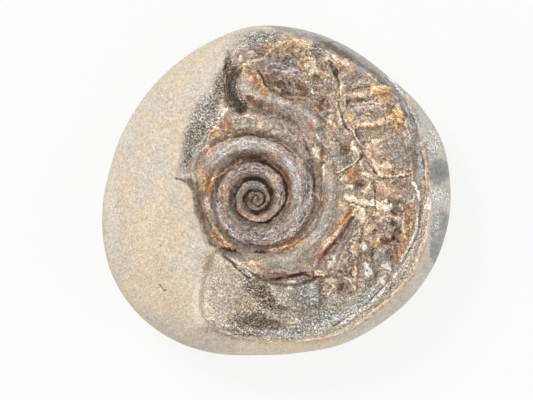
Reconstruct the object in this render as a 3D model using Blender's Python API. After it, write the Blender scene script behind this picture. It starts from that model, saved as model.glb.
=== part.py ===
"""An ammonite lying in a rounded limestone nodule: two stones, one set in a socket of the other.

The nodule is a water-worn cobble with a small flat base. Its top is open over the ammonite, whose
whorls, seams, cracked shell and keel stand in relief in the window. Everything is worked out in
millimetres, in polar form about the ammonite's umbilicus, and then moved so that the object's box is
centred on the origin, with the base at z = 0.
"""

import math

import bmesh
import bpy
import numpy as np
from mathutils import Vector
from mathutils.geometry import delaunay_2d_cdt

MM = 0.001

# ---- driving dimensions, in millimetres ----
EQUATOR_HEIGHT = 19.0
CROWN_HEIGHT = 43.0
CROWN_POWER = 2.6
UNDERSIDE_POWER = 2.3
BASE_SHARE = 0.56
UMBILICUS = (-6.15, -2.85)
SOCKET_GAP = 0.3
SOCKET_MIDDLE_HEIGHT = 19.0
RIM_DEPTH = 4.0
UNDERSIDE_DISH_POWER = 2.2
NARROWEST_LIP = 0.4
# Loops between the socket's edge and the lip: share of the way out, share of the way up.
LIP_STEPS = ((0.45, 0.62), (1.0, 1.0))

# ---- mesh fineness ----
RIM_SPACING = 5.0
RAY_SPACING_DEG = 14.5
SEAM_STEP = 1.75
WIDEST_SEAM_STEP_DEG = 13.0
GRID_SPACING = 1.62
STROKE_SPACING = 1.5
STROKE_SHARES = (0.0, 1.0, -1.0, 0.5, -0.5)
CLOSEST_SEAM_POINTS = 0.42
CLOSEST_STROKE_POINTS = 0.62
CLOSEST_GRID_POINTS = 1.05
CLEAR_OF_RIM = 0.9
CROWN_RINGS = 6
UNDERSIDE_RINGS = 6
SOCKET_SHARES = (1.0, 0.86, 0.66, 0.4)

# Radius of the cobble's outline by angle about the umbilicus, anticlockwise from +X.
OUTLINE = (
    (0, 58.6), (15, 58.8), (30, 56.9), (45, 54.3), (60, 53.7), (75, 53.2), (90, 52.4), (105, 49.8),
    (120, 47.6), (135, 46.0), (150, 45.1), (165, 44.9), (180, 46.0), (195, 47.6), (210, 49.0),
    (225, 49.4), (240, 48.9), (255, 47.8), (270, 46.7), (285, 47.7), (300, 50.4), (315, 52.8),
    (330, 55.6), (345, 57.6),
)  # fmt: skip

# The lip: where the cobble's own skin ends.
LIP = (
    (2, 52.2), (12, 52.3), (20, 53.1), (28, 53.6), (36, 53.0), (45, 51.7), (60, 51.0), (75, 50.7),
    (88, 50.1), (96, 48.6), (101, 45.4), (104, 40.2), (109, 35.5), (119, 33.1), (130, 30.7),
    (140, 28.1), (152, 26.0), (164, 24.9), (169, 20.4), (180, 17.7), (195, 17.7), (209, 18.9),
    (224, 20.7), (231, 23.8), (236, 29.4), (242, 36.4), (247, 39.8), (253, 40.2), (261, 40.8),
    (270, 41.9), (278, 43.1), (289, 44.6), (301, 47.0), (312, 48.5), (321, 49.6), (334, 51.7),
    (344, 52.0), (353, 52.8),
)  # fmt: skip

# The foot: the ammonite's own outline, inside the lip.
FOOT = (
    (2, 51.2), (12, 51.3), (20, 52.0), (28, 52.4), (36, 51.9), (45, 50.6), (60, 49.9), (75, 49.6),
    (87, 48.7), (94, 47.2), (99, 44.4), (102.5, 40.0), (105, 35.0), (106.5, 30.0), (111, 28.3),
    (122, 26.0), (127, 23.9), (140, 22.0), (150, 20.9), (158, 19.6), (166, 18.0), (180, 15.9),
    (197, 15.4), (216, 16.3), (229, 18.0), (235, 23.0), (239, 29.0), (243, 34.8), (248, 38.4),
    (254, 39.3), (261, 39.9), (270, 41.0), (278, 42.2), (289, 43.7), (301, 46.1), (312, 47.6),
    (321, 48.7), (334, 50.8), (344, 51.1), (353, 51.9),
)  # fmt: skip

# Radius of the seam between neighbouring whorls, by growth angle. Under the first angle it goes on
# inwards as an even logarithmic spiral.
SEAM = (
    (270, 3.9), (315, 4.1), (360, 4.6), (405, 5.4), (450, 6.2), (495, 6.75), (540, 6.9), (585, 7.0),
    (630, 7.1), (675, 7.6), (720, 9.0), (765, 10.7), (810, 11.5), (855, 12.0), (900, 12.3),
    (945, 13.5), (990, 13.9), (1035, 16.0), (1080, 17.7), (1125, 18.9), (1170, 19.6), (1215, 20.9),
    (1240, 19.4),
)  # fmt: skip
INNER_EXPANSION = 1.9
FIRST_ANGLE = -330.0
LAST_ANGLE = 1240.0
TURN = 360.0

# Relief across a whorl, from its inner seam outwards: (share of its width, height in radii).
WHORL_PROFILE = (
    (0.0, -0.06), (0.1, -0.045), (0.27, 0.055), (0.42, 0.09), (0.50, 0.12), (0.58, 0.085),
    (0.70, 0.07), (0.86, 0.03), (1.0, -0.06),
)  # fmt: skip
PROFILE_SHARES = (0.1, 0.27, 0.42, 0.5, 0.6, 0.86)

# How far the umbilicus lies under the cobble's crown, by radius.
UMBILICUS_DEPTH = (
    (0.0, 11.0), (4.0, 10.2), (7.0, 9.2), (9.0, 8.5), (13.0, 7.2), (17.0, 6.0), (21.0, 5.2),
)  # fmt: skip
# How far the last whorl lies under the crown, by share of its width, and the run of its inner wall.
FLANK_DEPTH = (
    (0.0, 3.6), (0.15, 2.9), (0.28, 2.2), (0.45, 1.8), (0.7, 1.7), (0.9, 1.3), (1.0, 0.9),
)  # fmt: skip
UMBILICAL_WALL = 5.0
# Where the cobble covers the last whorl's start, it has the form of the whorls inside it, up to a
# covered seam. Between these angles its flank opens out to its full form.
COVERED_SEAM = 19.4
FLANK_OPENS = (200.0, 262.0)

# Strokes on the shell, as (height, half width, points from the umbilicus).
STROKES = {
    "long_crack": (-0.55, 0.75, ((21, 41), (24.2, 36.5), (24.4, 31), (25.6, 25), (28.6, 19.5), (31.5, 13.5), (30, 10))),
    "branch_crack": (-0.45, 0.7, ((31.5, 13.5), (36, 9), (44, 9.2), (48, 5))),
    "low_crack": (-0.5, 0.7, ((35, 9), (35.8, 1.5), (35, -3.5), (32, -7.5), (31.4, -14.5), (30.8, -22))),
    "shell_edge": (0.55, 0.8, ((3, 39.5), (6, 33.5), (10.5, 30.6), (15.5, 30), (20, 25), (24.5, 21.5))),
    "upper_finger": (0.7, 0.9, ((30.5, -2), (26, -7.5), (20.5, -14.5), (17.8, -19.5))),
    "lower_finger": (0.55, 0.9, ((29, -9), (25.5, -14), (21.5, -20.5), (18.5, -24.3))),
    "keel_groove": (-0.5, 0.8, ((49.5, -2), (48.6, -9), (46.3, -14.5), (43, -20), (38, -26), (32, -32), (23.5, -37.4))),
    "aperture_hollow": (-2.4, 2.6, ((-6, 38.5), (-7.3, 34.5), (-6.8, 30.5), (-4.2, 27.2))),
    "dark_furrow": (-0.8, 1.0, ((-9, -17), (-2, -21.5), (5, -24.8), (12, -25.5), (17.5, -23.8))),
}  # fmt: skip

# Slow swells that keep the cobble from being a perfect form: height, waves across, phase.
SWELLS = ((0.35, 2, 0.6), (0.25, 3, 2.1), (0.18, 5, 4.0))

STONE_COLOUR = (0.70, 0.62, 0.50, 1.0)
SHELL_COLOUR = (0.36, 0.28, 0.22, 1.0)


def slopes_through(x, y):
    """Tangents of a curve through the points that never overshoots them."""
    step = np.diff(x)
    rise = np.diff(y) / step
    left, right = rise[:-1], rise[1:]
    weight_left, weight_right = 2 * step[1:] + step[:-1], step[1:] + 2 * step[:-1]
    same_way = left * right > 0
    safe_left, safe_right = np.where(same_way, left, 1.0), np.where(same_way, right, 1.0)
    mean = (weight_left + weight_right) / (weight_left / safe_left + weight_right / safe_right)
    return np.concatenate([rise[:1], np.where(same_way, mean, 0.0), rise[-1:]])


def smooth_curve(points, at):
    """A smooth curve through (x, y) points, flat beyond both ends."""
    x, y = np.array(points, float).T
    slope = slopes_through(x, y)
    at = np.clip(at, x[0], x[-1])
    left = np.clip(np.searchsorted(x, at, side="right") - 1, 0, len(x) - 2)
    width = x[left + 1] - x[left]
    t = (at - x[left]) / width
    return (
        y[left] * (1 + 2 * t) * (1 - t) ** 2
        + y[left + 1] * t * t * (3 - 2 * t)
        + width * (slope[left] * t * (1 - t) ** 2 + slope[left + 1] * t * t * (t - 1))
    )


def closed_curve(points, degrees):
    """The same, for a radius by angle that closes on itself."""
    before = [(angle - TURN, radius) for angle, radius in points[-3:]]
    after = [(angle + TURN, radius) for angle, radius in points[:3]]
    return smooth_curve([*before, *points, *after], np.mod(degrees, TURN))


def blend(low, high, value):
    """0 under low, 1 over high, smooth between."""
    t = np.clip((value - low) / (high - low), 0.0, 1.0)
    return t * t * (3 - 2 * t)


def polar(x, y):
    return np.hypot(x, y), np.degrees(np.arctan2(y, x))


def crown(x, y):
    """Height of the cobble's whole upper skin."""
    radius, degrees = polar(x, y)
    share = np.clip(radius / closed_curve(OUTLINE, degrees), 0.0, 1.0)
    return EQUATOR_HEIGHT + (CROWN_HEIGHT - EQUATOR_HEIGHT) * np.sqrt(1 - share**CROWN_POWER)


def seam_radius(growth):
    """Radius of the seam at a growth angle, very large where the shell has no further seam."""
    first, last = SEAM[0], SEAM[-1]
    inner = first[1] * INNER_EXPANSION ** ((growth - first[0]) / TURN)
    radius = np.where(growth < first[0], inner, smooth_curve(SEAM, growth))
    return np.where(growth > last[0], np.inf, radius)


def whorl_place(radius, degrees):
    """(inner seam, outer seam) radii of the whorl that each point lies on."""
    angle = np.mod(degrees, TURN)
    inner, outer = np.zeros_like(radius), np.full_like(radius, np.inf)
    for turn in range(-2, 5):
        seam = seam_radius(angle + turn * TURN)
        inner = np.where(seam <= radius, np.maximum(inner, seam), inner)
        outer = np.where(seam > radius, np.minimum(outer, seam), outer)
    return inner, outer


def stroke_height(x, y, height, half_width, points):
    """Height that a rounded ridge or groove along the points adds."""
    line = np.array(points, float)
    nearest = np.full(x.shape, np.inf)
    for start, end in zip(line[:-1], line[1:]):
        run = end - start
        along = ((x - start[0]) * run[0] + (y - start[1]) * run[1]) / (run @ run)
        along = np.clip(along, 0.0, 1.0)
        away = np.hypot(x - start[0] - along * run[0], y - start[1] - along * run[1])
        nearest = np.minimum(nearest, away)
    return height * (1 - blend(0.0, half_width, nearest))


def shell_height(x, y):
    """Height of the ammonite's exposed face."""
    radius, degrees = polar(x, y)
    angle = np.mod(degrees, TURN)
    inner, outer = whorl_place(radius, degrees)
    is_last = np.isinf(outer)
    covered = np.maximum(np.where(is_last, COVERED_SEAM, outer), inner + 0.5)
    share = np.clip((radius - inner) / (covered - inner), 0.0, 1.0)
    whorl = smooth_curve(UMBILICUS_DEPTH, radius) - radius * smooth_curve(WHORL_PROFILE, share)
    seam = smooth_curve(UMBILICUS_DEPTH, inner) - inner * WHORL_PROFILE[0][1]
    rim = closed_curve(FOOT, degrees)
    flank_share = np.clip((radius - inner) / np.maximum(rim - inner, 0.1), 0.0, 1.0)
    climbed = blend(0.0, UMBILICAL_WALL, radius - inner)
    flank = seam + climbed * (smooth_curve(FLANK_DEPTH, flank_share) - seam)
    opened = np.where(angle > LAST_ANGLE % TURN, blend(*FLANK_OPENS, angle), 1.0)
    depth = np.where(is_last, whorl + opened * (flank - whorl), whorl)
    height = crown(x, y) - depth
    for stroke in STROKES.values():
        height = height + stroke_height(x, y, *stroke)
    return height


def underside_height(x, y, rim_height):
    """Height of the ammonite's hidden, dish-shaped underside. rim_height is its own at the rim."""
    radius, degrees = polar(x, y)
    share = np.clip(radius / closed_curve(FOOT, degrees), 0.0, 1.0)
    return SOCKET_MIDDLE_HEIGHT + (rim_height - SOCKET_MIDDLE_HEIGHT) * share**UNDERSIDE_DISH_POWER


def along(degrees, radius):
    """Points at a radius by angle, as x and y."""
    angle = np.radians(degrees)
    return radius * np.cos(angle), radius * np.sin(angle)


def rim_angles():
    """Angles of the meshes' rays, closer together where the foot runs outwards than where it circles."""
    fine = np.linspace(0.0, TURN, 3601)
    x, y = along(fine, closed_curve(FOOT, fine))
    walked = np.concatenate([[0.0], np.cumsum(np.hypot(np.diff(x), np.diff(y)))])
    rays = walked / RIM_SPACING + fine / RAY_SPACING_DEG
    return np.interp(np.linspace(0.0, rays[-1], round(rays[-1]), endpoint=False), rays, fine)


def seam_points():
    """Points along every seam and along the whorls between them."""
    found = []
    growth = FIRST_ANGLE
    while growth < LAST_ANGLE:
        inner = float(seam_radius(np.array(growth)))
        outer = float(seam_radius(np.array(growth + TURN)))
        found.append(along(growth, inner))
        if math.isfinite(outer) and inner > 1.6:
            found += [along(growth, inner + share * (outer - inner)) for share in PROFILE_SHARES]
        growth += min(math.degrees(SEAM_STEP / inner), WIDEST_SEAM_STEP_DEG)
    return found


def stroke_points():
    """Points on the middle of each stroke and on both sides of it."""
    found = []
    for _, half_width, points in STROKES.values():
        line = np.array(points, float)
        for start, end in zip(line[:-1], line[1:]):
            run = end - start
            length = np.hypot(*run)
            side = np.array([-run[1], run[0]]) / length * half_width
            for step in np.arange(0.0, 1.0, STROKE_SPACING / length):
                found += [start + step * run + share * side for share in STROKE_SHARES]
    return found


def grid_points():
    """A triangular grid over the whole face."""
    rows = np.arange(-55.0, 55.0, GRID_SPACING * math.sqrt(0.75))
    found = []
    for number, y in enumerate(rows):
        shift = GRID_SPACING / 2 * (number % 2)
        found += [(x + shift, y) for x in np.arange(-30.0, 55.0, GRID_SPACING)]
    return found


def thinned(groups, closest):
    """The groups' points in order, without any that comes too close to one before it."""
    kept = np.empty((0, 2))
    for group, gap in zip(groups, closest):
        for point in np.array(group, float):
            if len(kept) == 0 or np.hypot(*(kept - point).T).min() > gap:
                kept = np.vstack([kept, point])
    return kept


def face_points(rim):
    """The points inside the rim that carry the ammonite's face."""
    gaps = (CLOSEST_SEAM_POINTS, CLOSEST_STROKE_POINTS, CLOSEST_GRID_POINTS)
    points = thinned((seam_points(), stroke_points(), grid_points()), gaps)
    radius, degrees = polar(*points.T)
    inside = radius < closed_curve(FOOT, degrees) - CLEAR_OF_RIM
    from_rim = np.hypot(points[:, :1] - rim[:, 0], points[:, 1:] - rim[:, 1]).min(axis=1)
    return points[inside & (from_rim > CLEAR_OF_RIM)]


def bridges_a_hollow(triangle, count):
    """Whether a triangle lies outside the rim: its corners are all rim points, in the rim's reverse order."""
    a, b, c = triangle
    return max(triangle) < count and not (a < b < c or b < c < a or c < a < b)


def loop_of(mesh, degrees, radius, height):
    x, y = along(degrees, radius)
    return [mesh.verts.new(place) for place in zip(x, y, np.broadcast_to(height, x.shape))]


def join_loops(mesh, upper, lower):
    """A band of quads between two loops, facing out where upper is above lower."""
    count = len(upper)
    for i in range(count):
        j = (i + 1) % count
        mesh.faces.new((upper[i], lower[i], lower[j], upper[j]))


def close_loop(mesh, loop, height):
    """A fan to a middle point, facing as the band that ends in this loop."""
    middle = mesh.verts.new((0.0, 0.0, height))
    for i, vertex in enumerate(loop):
        mesh.faces.new((vertex, middle, loop[(i + 1) % len(loop)]))


def object_from(mesh, name, material):
    """Moves the mesh to its place in the object's frame, in metres, and makes the object."""
    for vertex in mesh.verts:
        vertex.co.x = (vertex.co.x + UMBILICUS[0]) * MM
        vertex.co.y = (vertex.co.y + UMBILICUS[1]) * MM
        vertex.co.z *= MM
    bmesh.ops.recalc_face_normals(mesh, faces=mesh.faces[:])
    data = bpy.data.meshes.new(name)
    mesh.to_mesh(data)
    mesh.free()
    data.materials.append(material)
    data.shade_smooth()
    made = bpy.data.objects.new(name, data)
    bpy.context.scene.collection.objects.link(made)
    return made


def stone_material(name, colour, roughness):
    material = bpy.data.materials.new(name)
    material.use_nodes = True
    shader = material.node_tree.nodes["Principled BSDF"]
    shader.inputs["Base Color"].default_value = colour
    shader.inputs["Roughness"].default_value = roughness
    return material


def make_ammonite(degrees):
    """The ammonite: its face in relief, a short wall round the rim and a dished underside."""
    mesh = bmesh.new()
    foot = closed_curve(FOOT, degrees)
    rim = np.array(along(degrees, foot)).T
    count = len(rim)
    flat = [Vector(point) for point in np.vstack([rim, face_points(rim)])]
    edges = [(i, (i + 1) % count) for i in range(count)]
    places, _, triangles, *_ = delaunay_2d_cdt(flat, edges, [list(range(count))], 1, 1e-5, False)
    x, y = np.array([tuple(place) for place in places]).T
    vertices = [mesh.verts.new(place) for place in zip(x, y, shell_height(x, y))]
    for triangle in triangles:
        if not bridges_a_hollow(triangle, count):
            mesh.faces.new([vertices[i] for i in triangle])
    rim_height = shell_height(*rim.T) - RIM_DEPTH
    above = vertices[:count]
    for share in SOCKET_SHARES:
        inside = along(degrees, foot * share)
        below = loop_of(mesh, degrees, foot * share, underside_height(*inside, rim_height))
        join_loops(mesh, above, below)
        above = below
    close_loop(mesh, above, SOCKET_MIDDLE_HEIGHT)
    return object_from(mesh, "ammonite", stone_material("fossil shell", SHELL_COLOUR, 0.55))


def swell(degrees, depth):
    """A small change of radius round the cobble's side, none at the lip."""
    angle = np.radians(degrees)
    return depth * sum(size * np.sin(waves * angle + phase) for size, waves, phase in SWELLS)


def make_nodule(degrees):
    """The cobble: crown, underside and base outside, and the socket that holds the ammonite."""
    mesh = bmesh.new()
    foot, lip = closed_curve(FOOT, degrees), closed_curve(LIP, degrees)
    outline = closed_curve(OUTLINE, degrees)
    edge = foot + SOCKET_GAP
    lip = np.maximum(lip, edge + NARROWEST_LIP)
    foot_height = shell_height(*along(degrees, foot))
    lip_height = crown(*along(degrees, lip))
    inner = loop_of(mesh, degrees, edge, foot_height)
    above = inner
    for share, rise in LIP_STEPS:
        radius = edge + (lip - edge) * share
        below = loop_of(mesh, degrees, radius, foot_height + (lip_height - foot_height) * rise)
        join_loops(mesh, above, below)
        above = below
    lip_turn = np.arcsin((lip / outline) ** (CROWN_POWER / 2))
    for step in range(1, CROWN_RINGS + 1):
        turn = lip_turn + (math.pi / 2 - lip_turn) * step / CROWN_RINGS
        radius = outline * np.sin(turn) ** (2 / CROWN_POWER)
        height = EQUATOR_HEIGHT + (CROWN_HEIGHT - EQUATOR_HEIGHT) * np.cos(turn)
        below = loop_of(mesh, degrees, radius, height)
        join_loops(mesh, above, below)
        above = below
    for step in range(1, UNDERSIDE_RINGS + 1):
        turn = math.pi / 2 * step / UNDERSIDE_RINGS
        share = BASE_SHARE + (1 - BASE_SHARE) * max(math.cos(turn), 0.0) ** (2 / UNDERSIDE_POWER)
        height = EQUATOR_HEIGHT * (1 - math.sin(turn))
        radius = outline * share + swell(degrees, math.sin(2 * turn))
        below = loop_of(mesh, degrees, radius, height)
        join_loops(mesh, above, below)
        above = below
    mesh.faces.new(reversed(above))
    rim_height = foot_height - RIM_DEPTH
    above = inner
    for share in SOCKET_SHARES:
        inside = along(degrees, foot * share)
        height = underside_height(*inside, rim_height) - SOCKET_GAP
        radius = foot * share + (SOCKET_GAP if share == SOCKET_SHARES[0] else 0.0)
        below = loop_of(mesh, degrees, radius, height)
        join_loops(mesh, below, above)
        above = below
    middle = mesh.verts.new((0.0, 0.0, SOCKET_MIDDLE_HEIGHT - SOCKET_GAP))
    for i, vertex in enumerate(above):
        mesh.faces.new((vertex, above[(i + 1) % len(above)], middle))
    return object_from(mesh, "nodule", stone_material("limestone", STONE_COLOUR, 0.85))


def main():
    for old in list(bpy.data.objects):
        bpy.data.objects.remove(old)
    degrees = rim_angles()
    make_ammonite(degrees)
    make_nodule(degrees)


main()
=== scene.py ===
"""Looks of an ammonite lying in a rounded limestone nodule.

The two stones of the CAD frame are replaced by fine meshes of the same form. What is on their upper
face is drawn on a plan: named groups of spots, lines and zones give a signed distance for each kind
of surface, such as rust, cream or crack. The meshes take their small relief from these distances, and
the materials turn them, with noise, into ragged patches of colour.
"""

import math

import bpy
import numpy as np
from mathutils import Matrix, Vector
from mathutils.geometry import delaunay_2d_cdt


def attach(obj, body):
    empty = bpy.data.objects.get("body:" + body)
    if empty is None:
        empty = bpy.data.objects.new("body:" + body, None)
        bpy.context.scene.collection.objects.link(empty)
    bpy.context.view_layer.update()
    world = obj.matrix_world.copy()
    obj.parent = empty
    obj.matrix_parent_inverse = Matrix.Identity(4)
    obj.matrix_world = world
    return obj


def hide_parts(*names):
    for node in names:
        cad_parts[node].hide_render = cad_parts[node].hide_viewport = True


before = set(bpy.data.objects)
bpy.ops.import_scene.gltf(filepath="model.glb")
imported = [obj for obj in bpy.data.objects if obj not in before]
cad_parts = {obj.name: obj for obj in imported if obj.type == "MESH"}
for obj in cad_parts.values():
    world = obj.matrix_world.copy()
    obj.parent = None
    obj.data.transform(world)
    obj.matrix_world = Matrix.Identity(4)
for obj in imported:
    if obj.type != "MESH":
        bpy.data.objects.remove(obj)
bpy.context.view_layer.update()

MM = 0.001

# ---- the form, in millimetres about the umbilicus, as in the CAD source ----
EQUATOR_HEIGHT = 19.0
CROWN_HEIGHT = 43.0
CROWN_POWER = 2.6
UNDERSIDE_POWER = 2.3
BASE_SHARE = 0.56
UMBILICUS = (-6.15, -2.85)
SOCKET_GAP = 0.3
SOCKET_MIDDLE_HEIGHT = 19.0
RIM_DEPTH = 4.0
UNDERSIDE_DISH_POWER = 2.2

OUTLINE = (
    (0, 58.6), (15, 58.8), (30, 56.9), (45, 54.3), (60, 53.7), (75, 53.2), (90, 52.4), (105, 49.8),
    (120, 47.6), (135, 46.0), (150, 45.1), (165, 44.9), (180, 46.0), (195, 47.6), (210, 49.0),
    (225, 49.4), (240, 48.9), (255, 47.8), (270, 46.7), (285, 47.7), (300, 50.4), (315, 52.8),
    (330, 55.6), (345, 57.6),
)  # fmt: skip
LIP = (
    (2, 52.2), (12, 52.3), (20, 53.1), (28, 53.6), (36, 53.0), (45, 51.7), (60, 51.0), (75, 50.7),
    (88, 50.1), (96, 48.6), (101, 45.4), (104, 40.2), (109, 35.5), (119, 33.1), (130, 30.7),
    (140, 28.1), (152, 26.0), (164, 24.9), (169, 20.4), (180, 17.7), (195, 17.7), (209, 18.9),
    (224, 20.7), (231, 23.8), (236, 29.4), (242, 36.4), (247, 39.8), (253, 40.2), (261, 40.8),
    (270, 41.9), (278, 43.1), (289, 44.6), (301, 47.0), (312, 48.5), (321, 49.6), (334, 51.7),
    (344, 52.0), (353, 52.8),
)  # fmt: skip
FOOT = (
    (2, 51.2), (12, 51.3), (20, 52.0), (28, 52.4), (36, 51.9), (45, 50.6), (60, 49.9), (75, 49.6),
    (87, 48.7), (94, 47.2), (99, 44.4), (102.5, 40.0), (105, 35.0), (106.5, 30.0), (111, 28.3),
    (122, 26.0), (127, 23.9), (140, 22.0), (150, 20.9), (158, 19.6), (166, 18.0), (180, 15.9),
    (197, 15.4), (216, 16.3), (229, 18.0), (235, 23.0), (239, 29.0), (243, 34.8), (248, 38.4),
    (254, 39.3), (261, 39.9), (270, 41.0), (278, 42.2), (289, 43.7), (301, 46.1), (312, 47.6),
    (321, 48.7), (334, 50.8), (344, 51.1), (353, 51.9),
)  # fmt: skip
SEAM = (
    (270, 3.9), (315, 4.1), (360, 4.6), (405, 5.4), (450, 6.2), (495, 6.75), (540, 6.9), (585, 7.0),
    (630, 7.1), (675, 7.6), (720, 9.0), (765, 10.7), (810, 11.5), (855, 12.0), (900, 12.3),
    (945, 13.5), (990, 13.9), (1035, 16.0), (1080, 17.7), (1125, 18.9), (1170, 19.6), (1215, 20.9),
    (1240, 19.4),
)  # fmt: skip
INNER_EXPANSION = 1.9
LAST_ANGLE = 1240.0
TURN = 360.0
WHORL_PROFILE = (
    (0.0, -0.06), (0.1, -0.045), (0.27, 0.055), (0.42, 0.09), (0.50, 0.12), (0.58, 0.085),
    (0.70, 0.07), (0.86, 0.03), (1.0, -0.06),
)  # fmt: skip
UMBILICUS_DEPTH = (
    (0.0, 11.0), (4.0, 10.2), (7.0, 9.2), (9.0, 8.5), (13.0, 7.2), (17.0, 6.0), (21.0, 5.2),
)  # fmt: skip
FLANK_DEPTH = (
    (0.0, 3.6), (0.15, 2.9), (0.28, 2.2), (0.45, 1.8), (0.7, 1.7), (0.9, 1.3), (1.0, 0.9),
)  # fmt: skip
UMBILICAL_WALL = 5.0
COVERED_SEAM = 19.4
FLANK_OPENS = (200.0, 262.0)
SWELLS = ((0.35, 2, 0.6), (0.25, 3, 2.1), (0.18, 5, 4.0))

# ---- mesh fineness ----
FACE_SPACING = 0.262
RAYS = 640
SLOPE_RINGS = 30
CROWN_RINGS = 62
UNDERSIDE_RINGS = 26
BASE_RINGS = 8
SOCKET_SHARES = (1.0, 0.86, 0.66, 0.4)

# ---- the plan: units of 0.3 mm from its top left corner, y downwards ----
PLAN_UNIT = 0.3
PLAN_UMBILICUS = (256.0, 200.0)
PLAN_SIZE = (533.0, 400.0)
FARTHEST = 12.0
SMALL_SPOT = 4.5

# Broad forms on the shell, as (height, half width, points); the first nine are in the CAD source too.
FORMS = (
    (-0.3, 2.5, ((326, 63), (337, 78), (337, 97), (341, 117), (351, 135), (361, 155), (356, 167))),
    (-0.25, 2.3, ((361, 155), (376, 170), (403, 169), (416, 183))),
    (-0.3, 2.3, ((373, 170), (375, 195), (373, 212), (363, 225), (361, 248), (359, 273))),
    (0.55, 2.7, ((266, 68), (276, 88), (291, 98), (308, 100), (323, 117), (338, 128))),
    (0.7, 3.0, ((358, 207), (343, 225), (324, 248), (315, 265))),
    (0.55, 3.0, ((353, 230), (341, 247), (328, 268), (318, 281))),
    (-0.5, 2.7, ((421, 207), (418, 230), (410, 248), (399, 267), (383, 287), (363, 307), (334, 325))),
    (-2.4, 8.7, ((236, 72), (232, 85), (233, 98), (242, 109))),
    (-0.8, 3.3, ((226, 257), (249, 272), (273, 283), (296, 285), (314, 279))),
    (0.7, 8.0, ((247, 92), (262, 97), (286, 104), (305, 113), (317, 125))),
    (0.6, 9.0, ((328, 176), (330, 200), (322, 224), (306, 243), (288, 256), (266, 262))),
    (0.5, 8.0, ((268, 60), (288, 70), (308, 84))),
    (-0.2, 4.0, ((240, 112), (262, 113), (280, 115), (294, 123), (303, 137), (309, 152))),
    (-0.1, 2.6, ((230, 137), (245, 134.5), (260, 135), (274, 138), (288, 145), (299, 157), (306, 172))),
    (0.45, 6.5, ((224, 158), (236, 151), (249, 149), (265, 151), (278, 157), (288, 167), (294, 180), (295, 195))),
    (0.3, 5.0, ((350, 96), (360, 94), (370, 94))),
    (-0.3, 3.0, ((352, 101), (362, 100), (372, 99))),
    (0.35, 5.0, ((352, 122), (372, 125), (396, 112))),
    (0.4, 6.0, ((372, 168), (392, 166))),
    (0.35, 7.0, ((382, 189), (402, 190))),
    (0.4, 6.0, ((394, 206), (400, 206))),
    (0.45, 6.0, ((380, 222), (386, 222))),
    (0.3, 6.0, ((378, 256), (384, 248))),
    (-0.5, 3.5, ((352, 218), (338, 238), (326, 252))),
    (0.3, 5.0, ((362, 210), (365, 222))),
    (-0.35, 3.0, ((374, 244), (372, 262), (376, 278))),
    (0.3, 4.0, ((334, 273), (342, 276))),
)  # fmt: skip

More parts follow.
